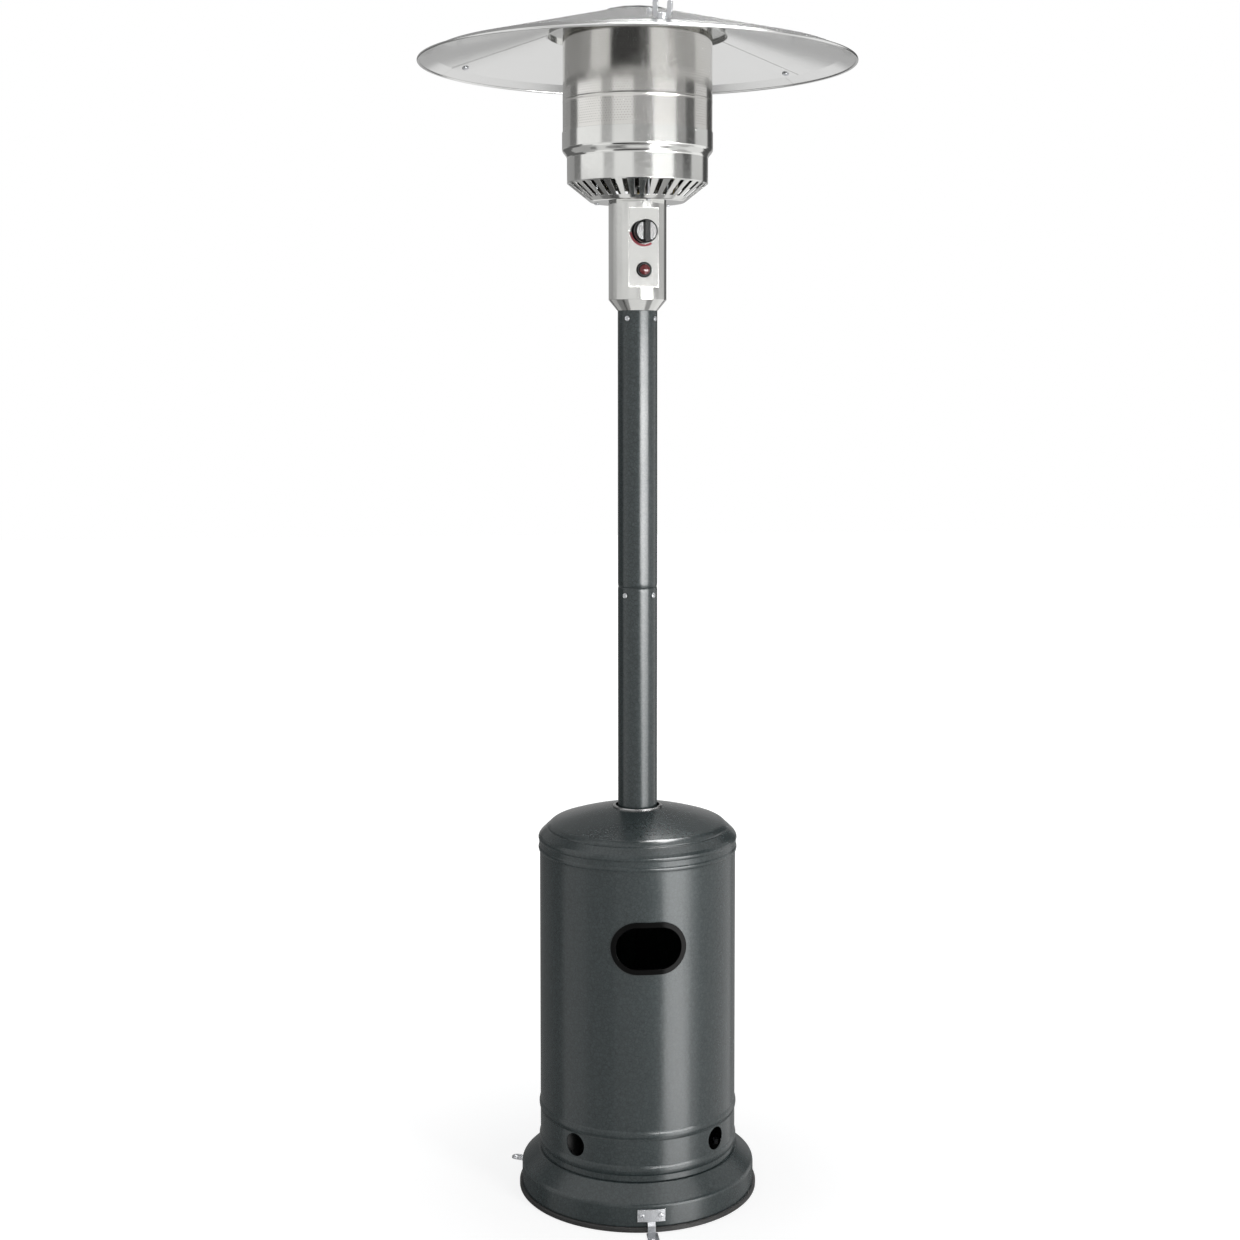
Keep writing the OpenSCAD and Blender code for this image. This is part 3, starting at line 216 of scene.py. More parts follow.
def glow_sheet(name, points, grey):
    """A grid of points as a piece of the set that glows in glossy reflections only, with its own grey at each point.
    In a reflection of a reflection no grey is above second_limit, so that bright edges leave no spots on the metal
    near them."""
    rows, cols = grey.shape
    sheet = mesh_piece(name, points, [grid_quads(rows, cols)])
    sheet.data.attributes.new("grey", "FLOAT", "POINT").data.foreach_set("value", grey.astype(np.float32).ravel())
    paint = bpy.data.materials.new(name)
    paint.use_nodes = True
    tree = paint.node_tree
    tree.nodes.clear()
    level = put(tree, "Attribute", attribute_name="grey").outputs["Fac"]
    depth = put(tree, "LightPath").outputs["Ray Depth"]
    again = put(tree, "Math", {0: depth, 1: second_reflection}, operation="GREATER_THAN").outputs[0]
    held = put(tree, "Math", {0: level, 1: second_limit}, operation="MINIMUM").outputs[0]
    shown = put(tree, "Mix", {0: again, 2: level, 3: held}, data_type="FLOAT").outputs[0]
    light = put(tree, "Emission", {"Color": (1, 1, 1, 1), "Strength": shown})
    put(tree, "OutputMaterial", {"Surface": light.outputs[0]})
    sheet.data.materials.append(paint)
    sheet.visible_camera = sheet.visible_diffuse = sheet.visible_shadow = False
    sheet.visible_transmission = sheet.visible_volume_scatter = False
    sheet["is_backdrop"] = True


print("seen from the pole, the camera lies towards", bearing(0).round(3))

# %% Cards and flags round the set
near_reach, far_reach = 1.6, 7.0


def card_ring(level, low, high, reach, blend, greys, share=1.0):
    """A piece of a vertical cylinder round the set. greys lists (turn where a grey starts, the grey), and the last
    turn only ends the ring. Neighbouring greys run into each other over blend degrees, and share scales them all."""
    turns = np.linspace(greys[0][0], greys[-1][0], 361)
    grey = np.full(turns.shape, greys[0][1])
    for (start, shade), (_, before) in zip(greys[1:-1], greys[:-2]):
        grey = grey + (shade - before) * ease((turns - start) / blend + 0.5)
    across = reach * bearing(turns)
    ring = np.stack([np.column_stack([across, np.full(len(turns), z)]) for z in (low, high)])
    glow_sheet("cards_" + level, ring, share * np.stack([grey, grey]))


# close to the floor: what the tank housing mirrors, and dimmer below it, what the base mirrors
for level, low, high, share in (("base", -2.0, -0.56, 0.42), ("housing", -0.56, 0.33, 1.0)):
    card_ring(level, low, high, near_reach, 5.0, [
        (-182, 0.20), (-130, 0.24), (-92, 0.80), (-58, 0.58), (-25, 0.78), (29, 5.2), (58, 1.8), (70, 0.92),
        (135, 0.35), (160, 0.15), (178, None)], share)
# what the pole mirrors, from its foot to the control tube
pole_levels = (-1.15, -0.35, 26, 6.0), (-0.35, 0.2, 23, 8.0), (0.2, 1.3, 17, 15.0), (1.3, 1.84, 16, 23.5)
for low, high, start, strip in pole_levels:
    card_ring("pole_%d" % (10 * high), low, high, far_reach, 4.0, [
        (-160, 0.14), (-92, 1.00), (-60, 0.82), (start, strip), (44, 0.75 * strip), (63, 1.45), (76, 1.15),
        (132, 0.10), (156, None)])
# what the control tube mirrors
card_ring("control", 1.84, 2.55, far_reach, 18.0, [
    (-160, 0.40), (-112, 0.55), (-90, 0.72), (-62, 0.85), (-36, 0.95), (-3, 0.78), (16, 0.93), (60, 0.45), (91, 0.60),
    (132, 0.10), (156, None)])
# what the bowl, the bands and the lower part of the emitter mirror
for level, low, high, glare in (("bands", 2.55, 2.78, 1.55), ("emitter", 2.78, 9.0, 1.00)):
    card_ring(level, low, high, far_reach, 6.0, [
        (-160, 0.36), (-124, 0.20), (-104, 1.06), (-56, 0.52), (-38, 0.92), (-6, 0.44), (24, glare), (60, 0.40),
        (78, 0.13), (97, 0.74), (132, 0.08), (156, None)])
# the wall behind, which the reflector's flanks and its upper side mirror
card_ring("wall", -0.2, 2.6, far_reach, 4.0, [(156, 0.46), (200, None)])
card_ring("wall_top", 2.6, 9.4, far_reach, 4.0, [(156, 0.30), (200, None)])
# what the emitter's upper part sees by way of the reflector
card_ring("reflector", -9.0, -1.15, far_reach, 5.0, [
    (-155, 0.45), (-100, 0.50), (-79, 1.05), (-44, 0.04), (4, 0.16), (20, 1.20), (50, 0.85), (63, 0.62), (103, 1.00),
    (150, None)])
print("cards on every level")

# %% Ceiling with the top lights, for what looks up
ceiling_height, ceiling_half = 9.5, 16.0


def ceiling_grey(x, y):
    """Grey of the ceiling x metres to the right of the camera's line and y towards the camera: a dim ground, a broad
    lit part over the front, more on the right, and a small bright box behind the zenith."""
    def box(x0, x1, y0, y1, blend):
        return (ease((x - x0) / blend + 0.5) * ease((x1 - x) / blend + 0.5)
                * ease((y - y0) / blend + 0.5) * ease((y1 - y) / blend + 0.5))

    return (0.48 + 0.60 * box(-9, 9, -1.5, 8, 3.0) + 1.10 * box(2.5, 9, -1.5, 8, 3.0)
            + 22.0 * box(-0.3, 2.9, -6.0, 0.0, 0.5))


line = np.linspace(-ceiling_half, ceiling_half, 161)
right, toward = np.meshgrid(line, line, indexing="xy")
flat = right[..., None] * bearing(90) + toward[..., None] * bearing(0)
glow_sheet("ceiling", np.dstack([flat, np.full(right.shape, ceiling_height)]), ceiling_grey(right, toward))
print("ceiling", ceiling_height, "m up")

# %% Strip light
def strip_light(name, turn, away, height, wide, tall, radiance):
    """A soft box at a turn to the right of the camera, facing the pole. Its power is radiance times pi times area."""
    lamp = bpy.data.lights.new(name, "AREA")
    lamp.shape = "RECTANGLE"
    lamp.size, lamp.size_y = wide, tall
    lamp.energy = radiance * math.pi * wide * tall
    box = bpy.data.objects.new(name, lamp)
    x, y = away * bearing(turn)
    box.location = (x, y, height)
    box.rotation_euler = (math.radians(90), 0, math.radians(turn + camera_turn))
    box.visible_camera = box.visible_glossy = False
    scene.collection.objects.link(box)


strip_light("strip_right", 42, 3.0, 1.72, 0.62, 3.3, 6.0)
strip_light("fill_left", -75, 4.2, 1.9, 1.8, 2.8, 0.5)
print("two soft boxes")

# %% [markdown]
# ## Effects that several finishes share
# Real edges are never razor sharp, real sheet is never even, and rolled metal has a grain. The edges also get a
# painted highlight: the finishes lift their colour along them. Each of these is built once as a node group and placed
# in the finishes with its own values. Copying the nodes into every finish would work too, but then a better edge would
# have to be made a dozen times.

# %% Group: rounded edges, and a mask for the painted edge highlight
def new_group(name, inputs, outputs):
    """An empty shader group. inputs: name to (type, default); outputs: name to type."""
    group = bpy.data.node_groups.new(name, "ShaderNodeTree")
    for key, (kind, value) in inputs.items():
        group.interface.new_socket(key, in_out="INPUT", socket_type="NodeSocket" + kind).default_value = value
    for key, kind in outputs.items():
        group.interface.new_socket(key, in_out="OUTPUT", socket_type="NodeSocket" + kind)
    return group, group.nodes.new("NodeGroupInput").outputs, group.nodes.new("NodeGroupOutput").inputs


def span(tree, value, low, high, to_low=0.0, to_high=1.0):
    """Value scaled from low..high to to_low..to_high and held inside that range."""
    return put(tree, "MapRange", {0: value, 1: low, 2: high, 3: to_low, 4: to_high}, clamp=True).outputs[0]


edges, g_in, g_out = new_group("rounded_edges_and_highlight", {"Radius": ("Float", 0.0006)}, {"Edge_highlight": "Float", "Normal": "Vector"})
soft = put(edges, "Bevel", {"Radius": g_in["Radius"]}, samples=4)
true = put(edges, "NewGeometry")
agree = put(edges, "VectorMath", {0: soft.outputs[0], 1: true.outputs["Normal"]}, operation="DOT_PRODUCT")
# the edge mask is where the rounded normal leaves the true one; the finishes paint a highlight along it
edges.links.new(span(edges, agree.outputs["Value"], 0.995, 0.80), g_out["Edge_highlight"])
edges.links.new(soft.outputs[0], g_out["Normal"])
print("group", edges.name)

# %% Group: cloudy unevenness, from large patches and small spots
cloud, g_in, g_out = new_group("cloudy", {"Vector": ("Vector", (0, 0, 0)), "Size": ("Float", 8.0)},
                               {"Patch": "Float", "Spot": "Float"})
wide = put(cloud, "TexNoise", {"Vector": g_in["Vector"], "Scale": g_in["Size"], "Detail": 3.0, "Roughness": 0.55})
fine_size = put(cloud, "Math", {0: g_in["Size"], 1: 14.0}, operation="MULTIPLY")
fine = put(cloud, "TexNoise", {"Vector": g_in["Vector"], "Scale": fine_size.outputs[0], "Detail": 2.0})
cloud.links.new(span(cloud, wide.outputs[0], 0.30, 0.70), g_out["Patch"])
cloud.links.new(span(cloud, fine.outputs[0], 0.35, 0.72), g_out["Spot"])
print("group", cloud.name)

# %% Group: rolling grain, noise stretched along the height
grain, g_in, g_out = new_group("rolling_grain", {"Vector": ("Vector", (0, 0, 0)), "Fine": ("Float", 700.0)},
                               {"Lines": "Float"})
squeezed = put(grain, "VectorMath", {0: g_in["Vector"], 1: (1.0, 1.0, 0.02)}, operation="MULTIPLY")
lines = put(grain, "TexNoise", {"Vector": squeezed.outputs[0], "Scale": g_in["Fine"], "Detail": 2.0})
grain.links.new(span(grain, lines.outputs[0], 0.3, 0.7), g_out["Lines"])
print("group", grain.name)

# %% [markdown]
# ## Hammered paint
# The base, the tank housing and the pole are sprayed with hammer paint. As it dries it draws itself into flat pebbles
# a few millimetres wide with thin dark veins between them. A cell pattern gives exactly that: the distance to
# the nearest cell centre makes the pebble, and the distance to the cell's border makes the vein. Bending the
# coordinates with a little noise first keeps the cells from looking like a honeycomb.

# %% Group: pebbles and veins
pebble, g_in, g_out = new_group("pebbles", {"Vector": ("Vector", (0, 0, 0)), "Scale": ("Float", 150.0)},
                                {"Height": "Float", "Vein": "Float"})
wobble_size = put(pebble, "Math", {0: g_in["Scale"], 1: 0.6}, operation="MULTIPLY")
wobble = put(pebble, "TexNoise", {"Vector": g_in["Vector"], "Scale": wobble_size.outputs[0], "Detail": 2.0})
shift = put(pebble, "VectorMath", {0: wobble.outputs["Color"], 1: (0.006, 0.006, 0.006)}, operation="MULTIPLY")
moved = put(pebble, "VectorMath", {0: g_in["Vector"], 1: shift.outputs[0]}, operation="ADD")
cell = put(pebble, "TexVoronoi", {"Vector": moved.outputs[0], "Scale": g_in["Scale"]}, feature="SMOOTH_F1")
border = put(pebble, "TexVoronoi", {"Vector": moved.outputs[0], "Scale": g_in["Scale"]}, feature="DISTANCE_TO_EDGE")
pebble.links.new(span(pebble, cell.outputs["Distance"], 0.1, 0.75, 1.0, 0.0), g_out["Height"])
pebble.links.new(span(pebble, border.outputs["Distance"], 0.0, 0.09, 1.0, 0.0), g_out["Vein"])
print("group", pebble.name)

# %% Tools for writing a finish
def new_finish(name, **constants):
    """A material with one Principled shader. constants are set on the shader's own sockets, _ standing for a space."""
    mat = bpy.data.materials.new(name)
    mat.use_nodes = True
    tree = mat.node_tree
    shader = tree.nodes["Principled BSDF"]
    for key, value in constants.items():
        shader.inputs[key.replace("_", " ")].default_value = value
    where = put(tree, "TexCoord").outputs["Object"]
    return mat, tree, shader, where


def use(tree, group, **feeds):
    """Places a node group, feeds its inputs and gives its outputs."""
    return put(tree, "Group", feeds, node_tree=group).outputs


def tint(tree, mask, dark, light):
    """Colour between dark and light by the mask. Each of them is a colour or a socket."""
    dark, light = (c if isinstance(c, bpy.types.NodeSocket) else (*c, 1.0) for c in (dark, light))
    return put(tree, "Mix", {0: mask, 6: dark, 7: light}, data_type="RGBA").outputs[2]


def bump(tree, height, depth, normal, strength=1.0):
    """Normal disturbed by a height map of this depth in metres, starting from another normal."""
    return put(tree, "Bump", {"Strength": strength, "Distance": depth, "Height": height, "Normal": normal}).outputs[0]


finishes = {}
print("finish tools ready")

# %% Hammered paint finish
mat, tree, shader, where = new_finish("hammered_paint", IOR=1.52, Specular_IOR_Level=0.55)
spots = use(tree, pebble, Vector=where, Scale=150.0)
clouds = use(tree, cloud, Vector=where, Size=9.0)
rounding = use(tree, edges, Radius=0.0012)
body = tint(tree, clouds["Spot"], (0.028, 0.039, 0.040), (0.040, 0.054, 0.056))
veined = tint(tree, spots["Vein"], body, (0.020, 0.028, 0.029))
# painted highlight: the paint colour is lifted to the light paint grey along the edges
tree.links.new(tint(tree, rounding["Edge_highlight"], veined, (0.040, 0.054, 0.056)), shader.inputs["Base Color"])
tree.links.new(span(tree, clouds["Patch"], 0.0, 1.0, 0.20, 0.26), shader.inputs["Roughness"])
tree.links.new(bump(tree, spots["Height"], 0.00010, rounding["Normal"], 0.5), shader.inputs["Normal"])
finishes["hammered_paint"] = mat
print("finish", mat.name)

# %% [markdown]
# ## Bright metals
# Polished stainless steel covers the control tube, the bowl and the bands. The emitter is the same steel after a
# few evenings of heat, a little duller. The reflector is thin satin aluminium, and the collar round the pole a
# darker steel. All are full metals: their colour is the tint of the reflection, so most of the work is in
# roughness and a very fine rolling grain.

# %% Stainless, emitter steel, aluminium, collar steel, zinc, brass
def metal(name, dark, light, rough, grain_depth, edge_highlight, patch_size=10.0, fine=700.0, edge=0.0008, **constants):
    """A metal finish: tint between dark and light by cloudy patches, roughness between two values by spots,
    a rolling grain as bump, and a painted highlight, a lighter colour along the edges."""
    mat, tree, shader, where = new_finish(name, Metallic=1.0, **constants)
    clouds = use(tree, cloud, Vector=where, Size=patch_size)
    lines = use(tree, grain, Vector=where, Fine=fine)["Lines"]
    rounding = use(tree, edges, Radius=edge)
    body = tint(tree, clouds["Patch"], dark, light)
    # painted highlight: the colour is tinted towards the lighter edge colour along the edges
    tree.links.new(tint(tree, rounding["Edge_highlight"], body, edge_highlight), shader.inputs["Base Color"])
    tree.links.new(span(tree, clouds["Spot"], 0.0, 1.0, *rough), shader.inputs["Roughness"])
    tree.links.new(bump(tree, lines, grain_depth, rounding["Normal"]), shader.inputs["Normal"])
    finishes[name] = mat
    print("finish", mat.name)
    return mat


metal("stainless", (0.66, 0.66, 0.64), (0.73, 0.73, 0.71), (0.09, 0.14), 0.000010, (0.80, 0.80, 0.79))
metal("emitter_steel", (0.66, 0.65, 0.62), (0.72, 0.71, 0.69), (0.12, 0.15), 0.000004, (0.74, 0.73, 0.71),
      edge=0.00015)
metal("reflector_aluminium", (0.71, 0.71, 0.70), (0.74, 0.74, 0.735), (0.16, 0.19), 0.000002, (0.82, 0.82, 0.82),
      patch_size=4.0, fine=420.0, edge=0.0001)
metal("collar_steel", (0.34, 0.34, 0.34), (0.38, 0.38, 0.38), (0.16, 0.20), 0.000004, (0.44, 0.44, 0.44), edge=0.0003)
metal("zinc", (0.50, 0.51, 0.53), (0.64, 0.65, 0.67), (0.26, 0.40), 0.000012, (0.74, 0.75, 0.76), patch_size=60.0)
metal("brass", (0.52, 0.37, 0.14), (0.66, 0.48, 0.20), (0.22, 0.34), 0.000010, (0.76, 0.60, 0.30), patch_size=40.0)

# %% [markdown]
# ## Plastics, rubber and porcelain
# The knob and the igniter bezel are moulded black plastic with a faint spark-eroded texture, the igniter's cap is
# glossy red, the grommet in the hand hole is smooth rubber, and the floor trim is a dull, dusty one.

# %% Moulded and rubber finishes
def moulded(name, dark, light, rough, texture_size, depth, edge_highlight, **constants):
    """A non-metal finish: cloudy tint, roughness by spots, a fine pebbled texture as bump and a painted highlight, a
    lighter colour along the edges.
    """
    mat, tree, shader, where = new_finish(name, **constants)
    clouds = use(tree, cloud, Vector=where, Size=24.0)
    skin = use(tree, pebble, Vector=where, Scale=texture_size)
    rounding = use(tree, edges, Radius=0.0007)
    body = tint(tree, clouds["Patch"], dark, light)
    # painted highlight: the colour is tinted towards the lighter edge colour along the edges
    tree.links.new(tint(tree, rounding["Edge_highlight"], body, edge_highlight), shader.inputs["Base Color"])
    tree.links.new(span(tree, clouds["Spot"], 0.0, 1.0, *rough), shader.inputs["Roughness"])
    tree.links.new(bump(tree, skin["Height"], depth, rounding["Normal"], 0.5), shader.inputs["Normal"])
    finishes[name] = mat
    print("finish", mat.name)


moulded("black_plastic", (0.005, 0.005, 0.005), (0.009, 0.009, 0.009), (0.24, 0.36), 1400.0, 0.00006,
        (0.020, 0.020, 0.020), Specular_IOR_Level=0.20)
moulded("floor_trim", (0.009, 0.009, 0.009), (0.020, 0.019, 0.018), (0.45, 0.62), 600.0, 0.00010,
        (0.035, 0.034, 0.032))
moulded("rubber_trim", (0.002, 0.002, 0.002), (0.004, 0.004, 0.004), (0.10, 0.16), 500.0, 0.00002,
        (0.006, 0.006, 0.006), Specular_IOR_Level=0.07)
moulded("red_plastic", (0.120, 0.006, 0.008), (0.170, 0.010, 0.012), (0.10, 0.18), 1500.0, 0.00002,
        (0.22, 0.02, 0.02), Coat_Weight=0.4, Coat_Roughness=0.05)
moulded("ceramic", (0.72, 0.69, 0.63), (0.82, 0.79, 0.73), (0.18, 0.30), 900.0, 0.00003, (0.86, 0.84, 0.80))
metal("silver_plastic", (0.50, 0.50, 0.50), (0.56, 0.56, 0.56), (0.07, 0.10), 0.000002, (0.60, 0.60, 0.60),
      patch_size=60.0, edge=0.0004)

# %% [markdown]
# ## The control panel's dial mark
# The front panel is polished a little further than the tube, and a red arc printed on it shows which way the knob
# opens. Ink has no thickness worth modelling, so the arc is worked out in the finish: how far a point is from the
# knob's axis, and in which direction it lies. A decal with a picture would need a file; two formulas don't.

# %% Group: arc round the knob
head_yaw, knob_height = 8.0, 1.804
arc_inner, arc_outer, arc_from, arc_to = 0.0230, 0.0276, -3.10, -0.95
side_fade, end_fade = 0.0004, 0.06
head_turn = math.radians(head_yaw)
dial, g_in, g_out = new_group("dial_arc", {"Vector": ("Vector", (0, 0, 0))}, {"Mask": "Float"})
offset = put(dial, "VectorMath", {0: g_in["Vector"], 1: (0.0, 0.0, knob_height)}, operation="SUBTRACT").outputs[0]
across = put(dial, "VectorMath", {0: offset, 1: (math.cos(head_turn), math.sin(head_turn), 0.0)},
             operation="DOT_PRODUCT").outputs["Value"]
above = put(dial, "SeparateXYZ", {0: offset}).outputs["Z"]
in_plane = put(dial, "CombineXYZ", {0: across, 1: above}).outputs[0]
away = put(dial, "VectorMath", {0: in_plane}, operation="LENGTH").outputs["Value"]
angle = put(dial, "Math", {0: above, 1: across}, operation="ARCTAN2").outputs[0]
limits = [span(dial, away, arc_inner, arc_inner + side_fade), span(dial, away, arc_outer, arc_outer - side_fade),
          span(dial, angle, arc_from, arc_from + end_fade), span(dial, angle, arc_to, arc_to - end_fade)]
mask = limits[0]
for limit in limits[1:]:
    mask = put(dial, "Math", {0: mask, 1: limit}, operation="MULTIPLY").outputs[0]
dial.links.new(mask, g_out["Mask"])
print("group", dial.name)

# %% Panel finish
mat = metal("panel_steel", (0.68, 0.68, 0.66), (0.73, 0.73, 0.71), (0.04, 0.06), 0.000001, (0.80, 0.80, 0.79))
tree = mat.node_tree
shader = tree.nodes["Principled BSDF"]
mark = use(tree, dial, Vector=tree.nodes["Texture Coordinate"].outputs["Object"])["Mask"]
bare = shader.inputs["Base Color"].links[0].from_socket
tree.links.new(tint(tree, mark, bare, (0.50, 0.10, 0.12)), shader.inputs["Base Color"])
tree.links.new(span(tree, mark, 0.0, 1.0, 1.0, 0.0), shader.inputs["Metallic"])

# %% Give every node its finish
own_finish = {"front_panel": "panel_steel", "dome_collar": "collar_steel"}
for part in frame["record"]["subparts"]:
    shape = node[part["node"]]
    if not shape.material_slots:
        shape.data.materials.append(None)
    for place in shape.material_slots:
        place.material = finishes[own_finish.get(part["node"], part["material_slot"])]

# %% [markdown]
# ## The perforated emitter
# The emitter is a cylinder of thin steel with thousands of small holes that glow when the burner is lit. Cutting them
# one by one would be slow. The holes sit on a honeycomb: every hole has six neighbours, so if each hole is a
# hexagon whose flats face its neighbours, the steel between them falls into strips and small triangles, and
# the whole sheet is a formula of row and column. Two plain zones at the ends and one for the rolled bead close it.

# %% Honeycomb of holes as arrays
emitter_r, hole_r, holes_round = 0.1387, 0.00070, 168
lower_field, upper_field = (1.9915, 2.0405), (2.0475, 2.1650)
pitch = 2 * math.pi / holes_round
row_step = emitter_r * pitch * math.sqrt(3) / 2


def hole_zone(low, high):
    """Corner points of the holes between two heights, as (rows, columns, 6, [angle, height]): odd rows are shifted by
    half a pitch, and corner k of a hole lies at 30 + 60 k degrees round its centre."""
    rows = int((high - low) / row_step)
    start = (low + high - (rows - 1) * row_step) / 2
    r, c, k = np.meshgrid(np.arange(rows), np.arange(holes_round), np.arange(6), indexing="ij")
    turn = np.radians(30.0 + 60.0 * k)
    angle = (c + 0.5 * (r % 2)) * pitch + hole_r * np.cos(turn) / emitter_r
    return np.stack([angle, start + r * row_step + hole_r * np.sin(turn)], -1)


def web_faces(rows, first):
    """Steel between the holes of a zone: a strip to the right, upper right and upper left neighbour of each hole,
    and the two triangles where three holes meet. Corners are numbered ((row * columns) + column) * 6 + k."""
    def corner(r, c, k):
        return first + (r * holes_round + c % holes_round) * 6 + k

    r, c = (a.ravel() for a in np.meshgrid(np.arange(rows), np.arange(holes_round), indexing="ij"))
    side = np.stack([corner(r, c, 5), corner(r, c + 1, 3), corner(r, c + 1, 2), corner(r, c, 0)], -1)
    r, c = (a.ravel() for a in np.meshgrid(np.arange(rows - 1), np.arange(holes_round), indexing="ij"))
    ur, ul = c + r % 2, c - 1 + r % 2
    right = np.stack([corner(r, c, 0), corner(r + 1, ur, 4), corner(r + 1, ur, 3), corner(r, c, 1)], -1)
    left = np.stack([corner(r, c, 1), corner(r + 1, ul, 5), corner(r + 1, ul, 4), corner(r, c, 2)], -1)
    above = np.stack([corner(r, c, 1), corner(r + 1, ur, 3), corner(r + 1, ul, 5)], -1)
    beside = np.stack([corner(r, c, 0), corner(r, c + 1, 2), corner(r + 1, ur, 4)], -1)
    return [side, right, left, above, beside]


zones = [hole_zone(*lower_field), hole_zone(*upper_field)]
print([z.shape[0] for z in zones], "rows of", holes_round, "holes")

# %% Plain zones between the holes
emitter_low, emitter_high = 1.957, 2.170
ring_below, ring_above = 1.9885, 2.1665
bead_at, bead_half, bead_out = 2.044, 0.0026, 0.00025
top_corners, low_corners = [2, 1, 0], [3, 4, 5]


def edge_angles(holes, corners):
    """Angles of these corners of a row of holes, in order round the cylinder."""
    return holes[:, corners, 0].ravel()


def plain_rows(angles, heights):
    """Rings of points at these heights, one point above each angle, as (rings, points, [angle, height])."""
    h, a = np.meshgrid(heights, angles, indexing="ij")
    return np.stack([a, h], -1)


around = 3 * holes_round
low_edge, mid_edge = edge_angles(zones[0][0], low_corners), edge_angles(zones[0][-1], top_corners)
over_edge, top_edge = edge_angles(zones[1][0], low_corners), edge_angles(zones[1][-1], top_corners)
bead_rows = bead_at + np.array([-bead_half, -0.0019, -0.0010, 0.0, 0.0010, 0.0019, bead_half])
plain = [plain_rows(low_edge, [emitter_low, ring_below]), plain_rows(mid_edge, bead_rows),
         plain_rows(top_edge, [ring_above, emitter_high])]
print("plain rings:", [p.shape[0] for p in plain])

# %% One skin of the emitter
def sheet_faces(outer, loops, count):
    """Faces of a closed sheet: the faces of its outer skin, the same faces turned inwards on an inner skin whose points
    come count places later, and a wall along each loop of open edges. A loop runs against the faces beside it."""
    walls = [np.stack([a, np.roll(a, -1, 1), np.roll(a, -1, 1) + count, a + count], -1).reshape(-1, 4) for a in loops]
    return outer + [f[:, ::-1] + count for f in outer] + walls


def emitter_skin():
    """(points as [angle, height], faces seen from outside) of one skin: the two hole zones, the plain zones, and the
    strips that join a zone's outermost corners to the nearest plain ring."""
    parts = zones + plain
    starts = np.cumsum([0] + [p[..., 0].size for p in parts])
    faces = web_faces(len(zones[0]), starts[0]) + web_faces(len(zones[1]), starts[1])
    faces += [grid_quads(len(p), around, wrap_cols=True, first=s) for p, s in zip(plain, starts[2:])]

    def hole_edge(z, row, corners):
        return (starts[z] + (row * holes_round + np.arange(holes_round)[:, None]) * 6 + corners).ravel()

    def join(below, above):
        return np.stack([below, np.roll(below, -1), np.roll(above, -1), above], -1)

    def ring(p, row):
        return starts[2 + p] + row * around + np.arange(around)

    last = [len(z) - 1 for z in zones]
    faces += [join(ring(0, 1), hole_edge(0, 0, low_corners)), join(hole_edge(0, last[0], top_corners), ring(1, 0)),
              join(hole_edge(1, last[1], top_corners), ring(2, 0))]
    shift = int(round((mid_edge[0] - over_edge[0]) / pitch * 3))
    faces.append(join(np.roll(ring(1, len(bead_rows) - 1), shift), hole_edge(1, 0, low_corners)))
    return np.concatenate([p.reshape(-1, 2) for p in parts]), faces


print("one skin has", len(emitter_skin()[0]), "points")

# %% The perforated sheet
emitter_wall = 0.001


def emitter_sheet():
    """Points and faces of the sheet: an outer and an inner skin, walls in each hole and rims at both ends. The bead
    bulges both skins outwards by a cosine bump."""
    flat, outer = emitter_skin()
    count = len(flat)
    from_bead = (flat[:, 1] - bead_at) / bead_half
    bulge = bead_out * np.clip(np.cos(from_bead * math.pi / 2), 0, 1) * (np.abs(from_bead) < 1.004)
    skins = []
    for radius in (emitter_r, emitter_r - emitter_wall):
        r = radius + bulge
        skins.append(np.stack([r * np.sin(flat[:, 0]), -r * np.cos(flat[:, 0]), flat[:, 1]], -1))
    holes = np.arange(sum(z[..., 0].size for z in zones)).reshape(-1, 6)
    bottom = holes.size + np.arange(around)[None]
    top = count - around + np.arange(around)[None]
    return np.concatenate(skins), sheet_faces(outer, [holes, bottom[:, ::-1], top], count)


points, faces = emitter_sheet()
emitter = mesh_piece("emitter_perforated", points, faces, smooth_deg=40)
emitter.data.materials.append(finishes["emitter_steel"])
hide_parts("emitter_screen")
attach(emitter, "stand")
print("emitter:", triangles(emitter), "triangles,", len(zones[0]) + len(zones[1]), "rows of holes")

# %% [markdown]
# ## Pole tubes with rolled ends
# The pole is two tubes that meet end to end over a sleeve. The outer edge of a cut tube is rolled over so that no burr
# is left, and the two round edges make a fine dark groove where the tubes meet. The measured tubes have plain
# ends, so we make both again as sheets with a round edge. A tube is a grid of rings. At each screw hole a square of
# the grid is left out, and quads run from the border of that square to the hole.

# %% Skin of a tube with four screw holes
pole_r, pole_wall = 0.0370, 0.0015
pole_foot, pole_joint, pole_top = 0.651, 1.144, 1.660
joint_screws_at, head_screws_at = 1.129, 1.645
screw_hole_r, square_half, square_cells, cells_between = 0.0024, 0.0040, 4, 20
roll_tall, roll_deep, roll_rings, ring_beyond = 0.0070, 0.0013, 7, 1.4
hole_turns = 2 * np.pi * np.arange(4 * square_cells) / (4 * square_cells)


def tube_columns(yaw):
    """Angles of a tube's columns: even steps across the square of each hole, and even steps to the next square."""
    half_square = square_half / pole_r
    quarter = np.concatenate([np.linspace(-half_square, half_square, square_cells, endpoint=False),
                              np.linspace(half_square, np.pi / 2 - half_square, cells_between, endpoint=False)])
    return (math.radians(45.0 + yaw) + np.pi / 2 * np.arange(4)[:, None] + quarter).ravel()


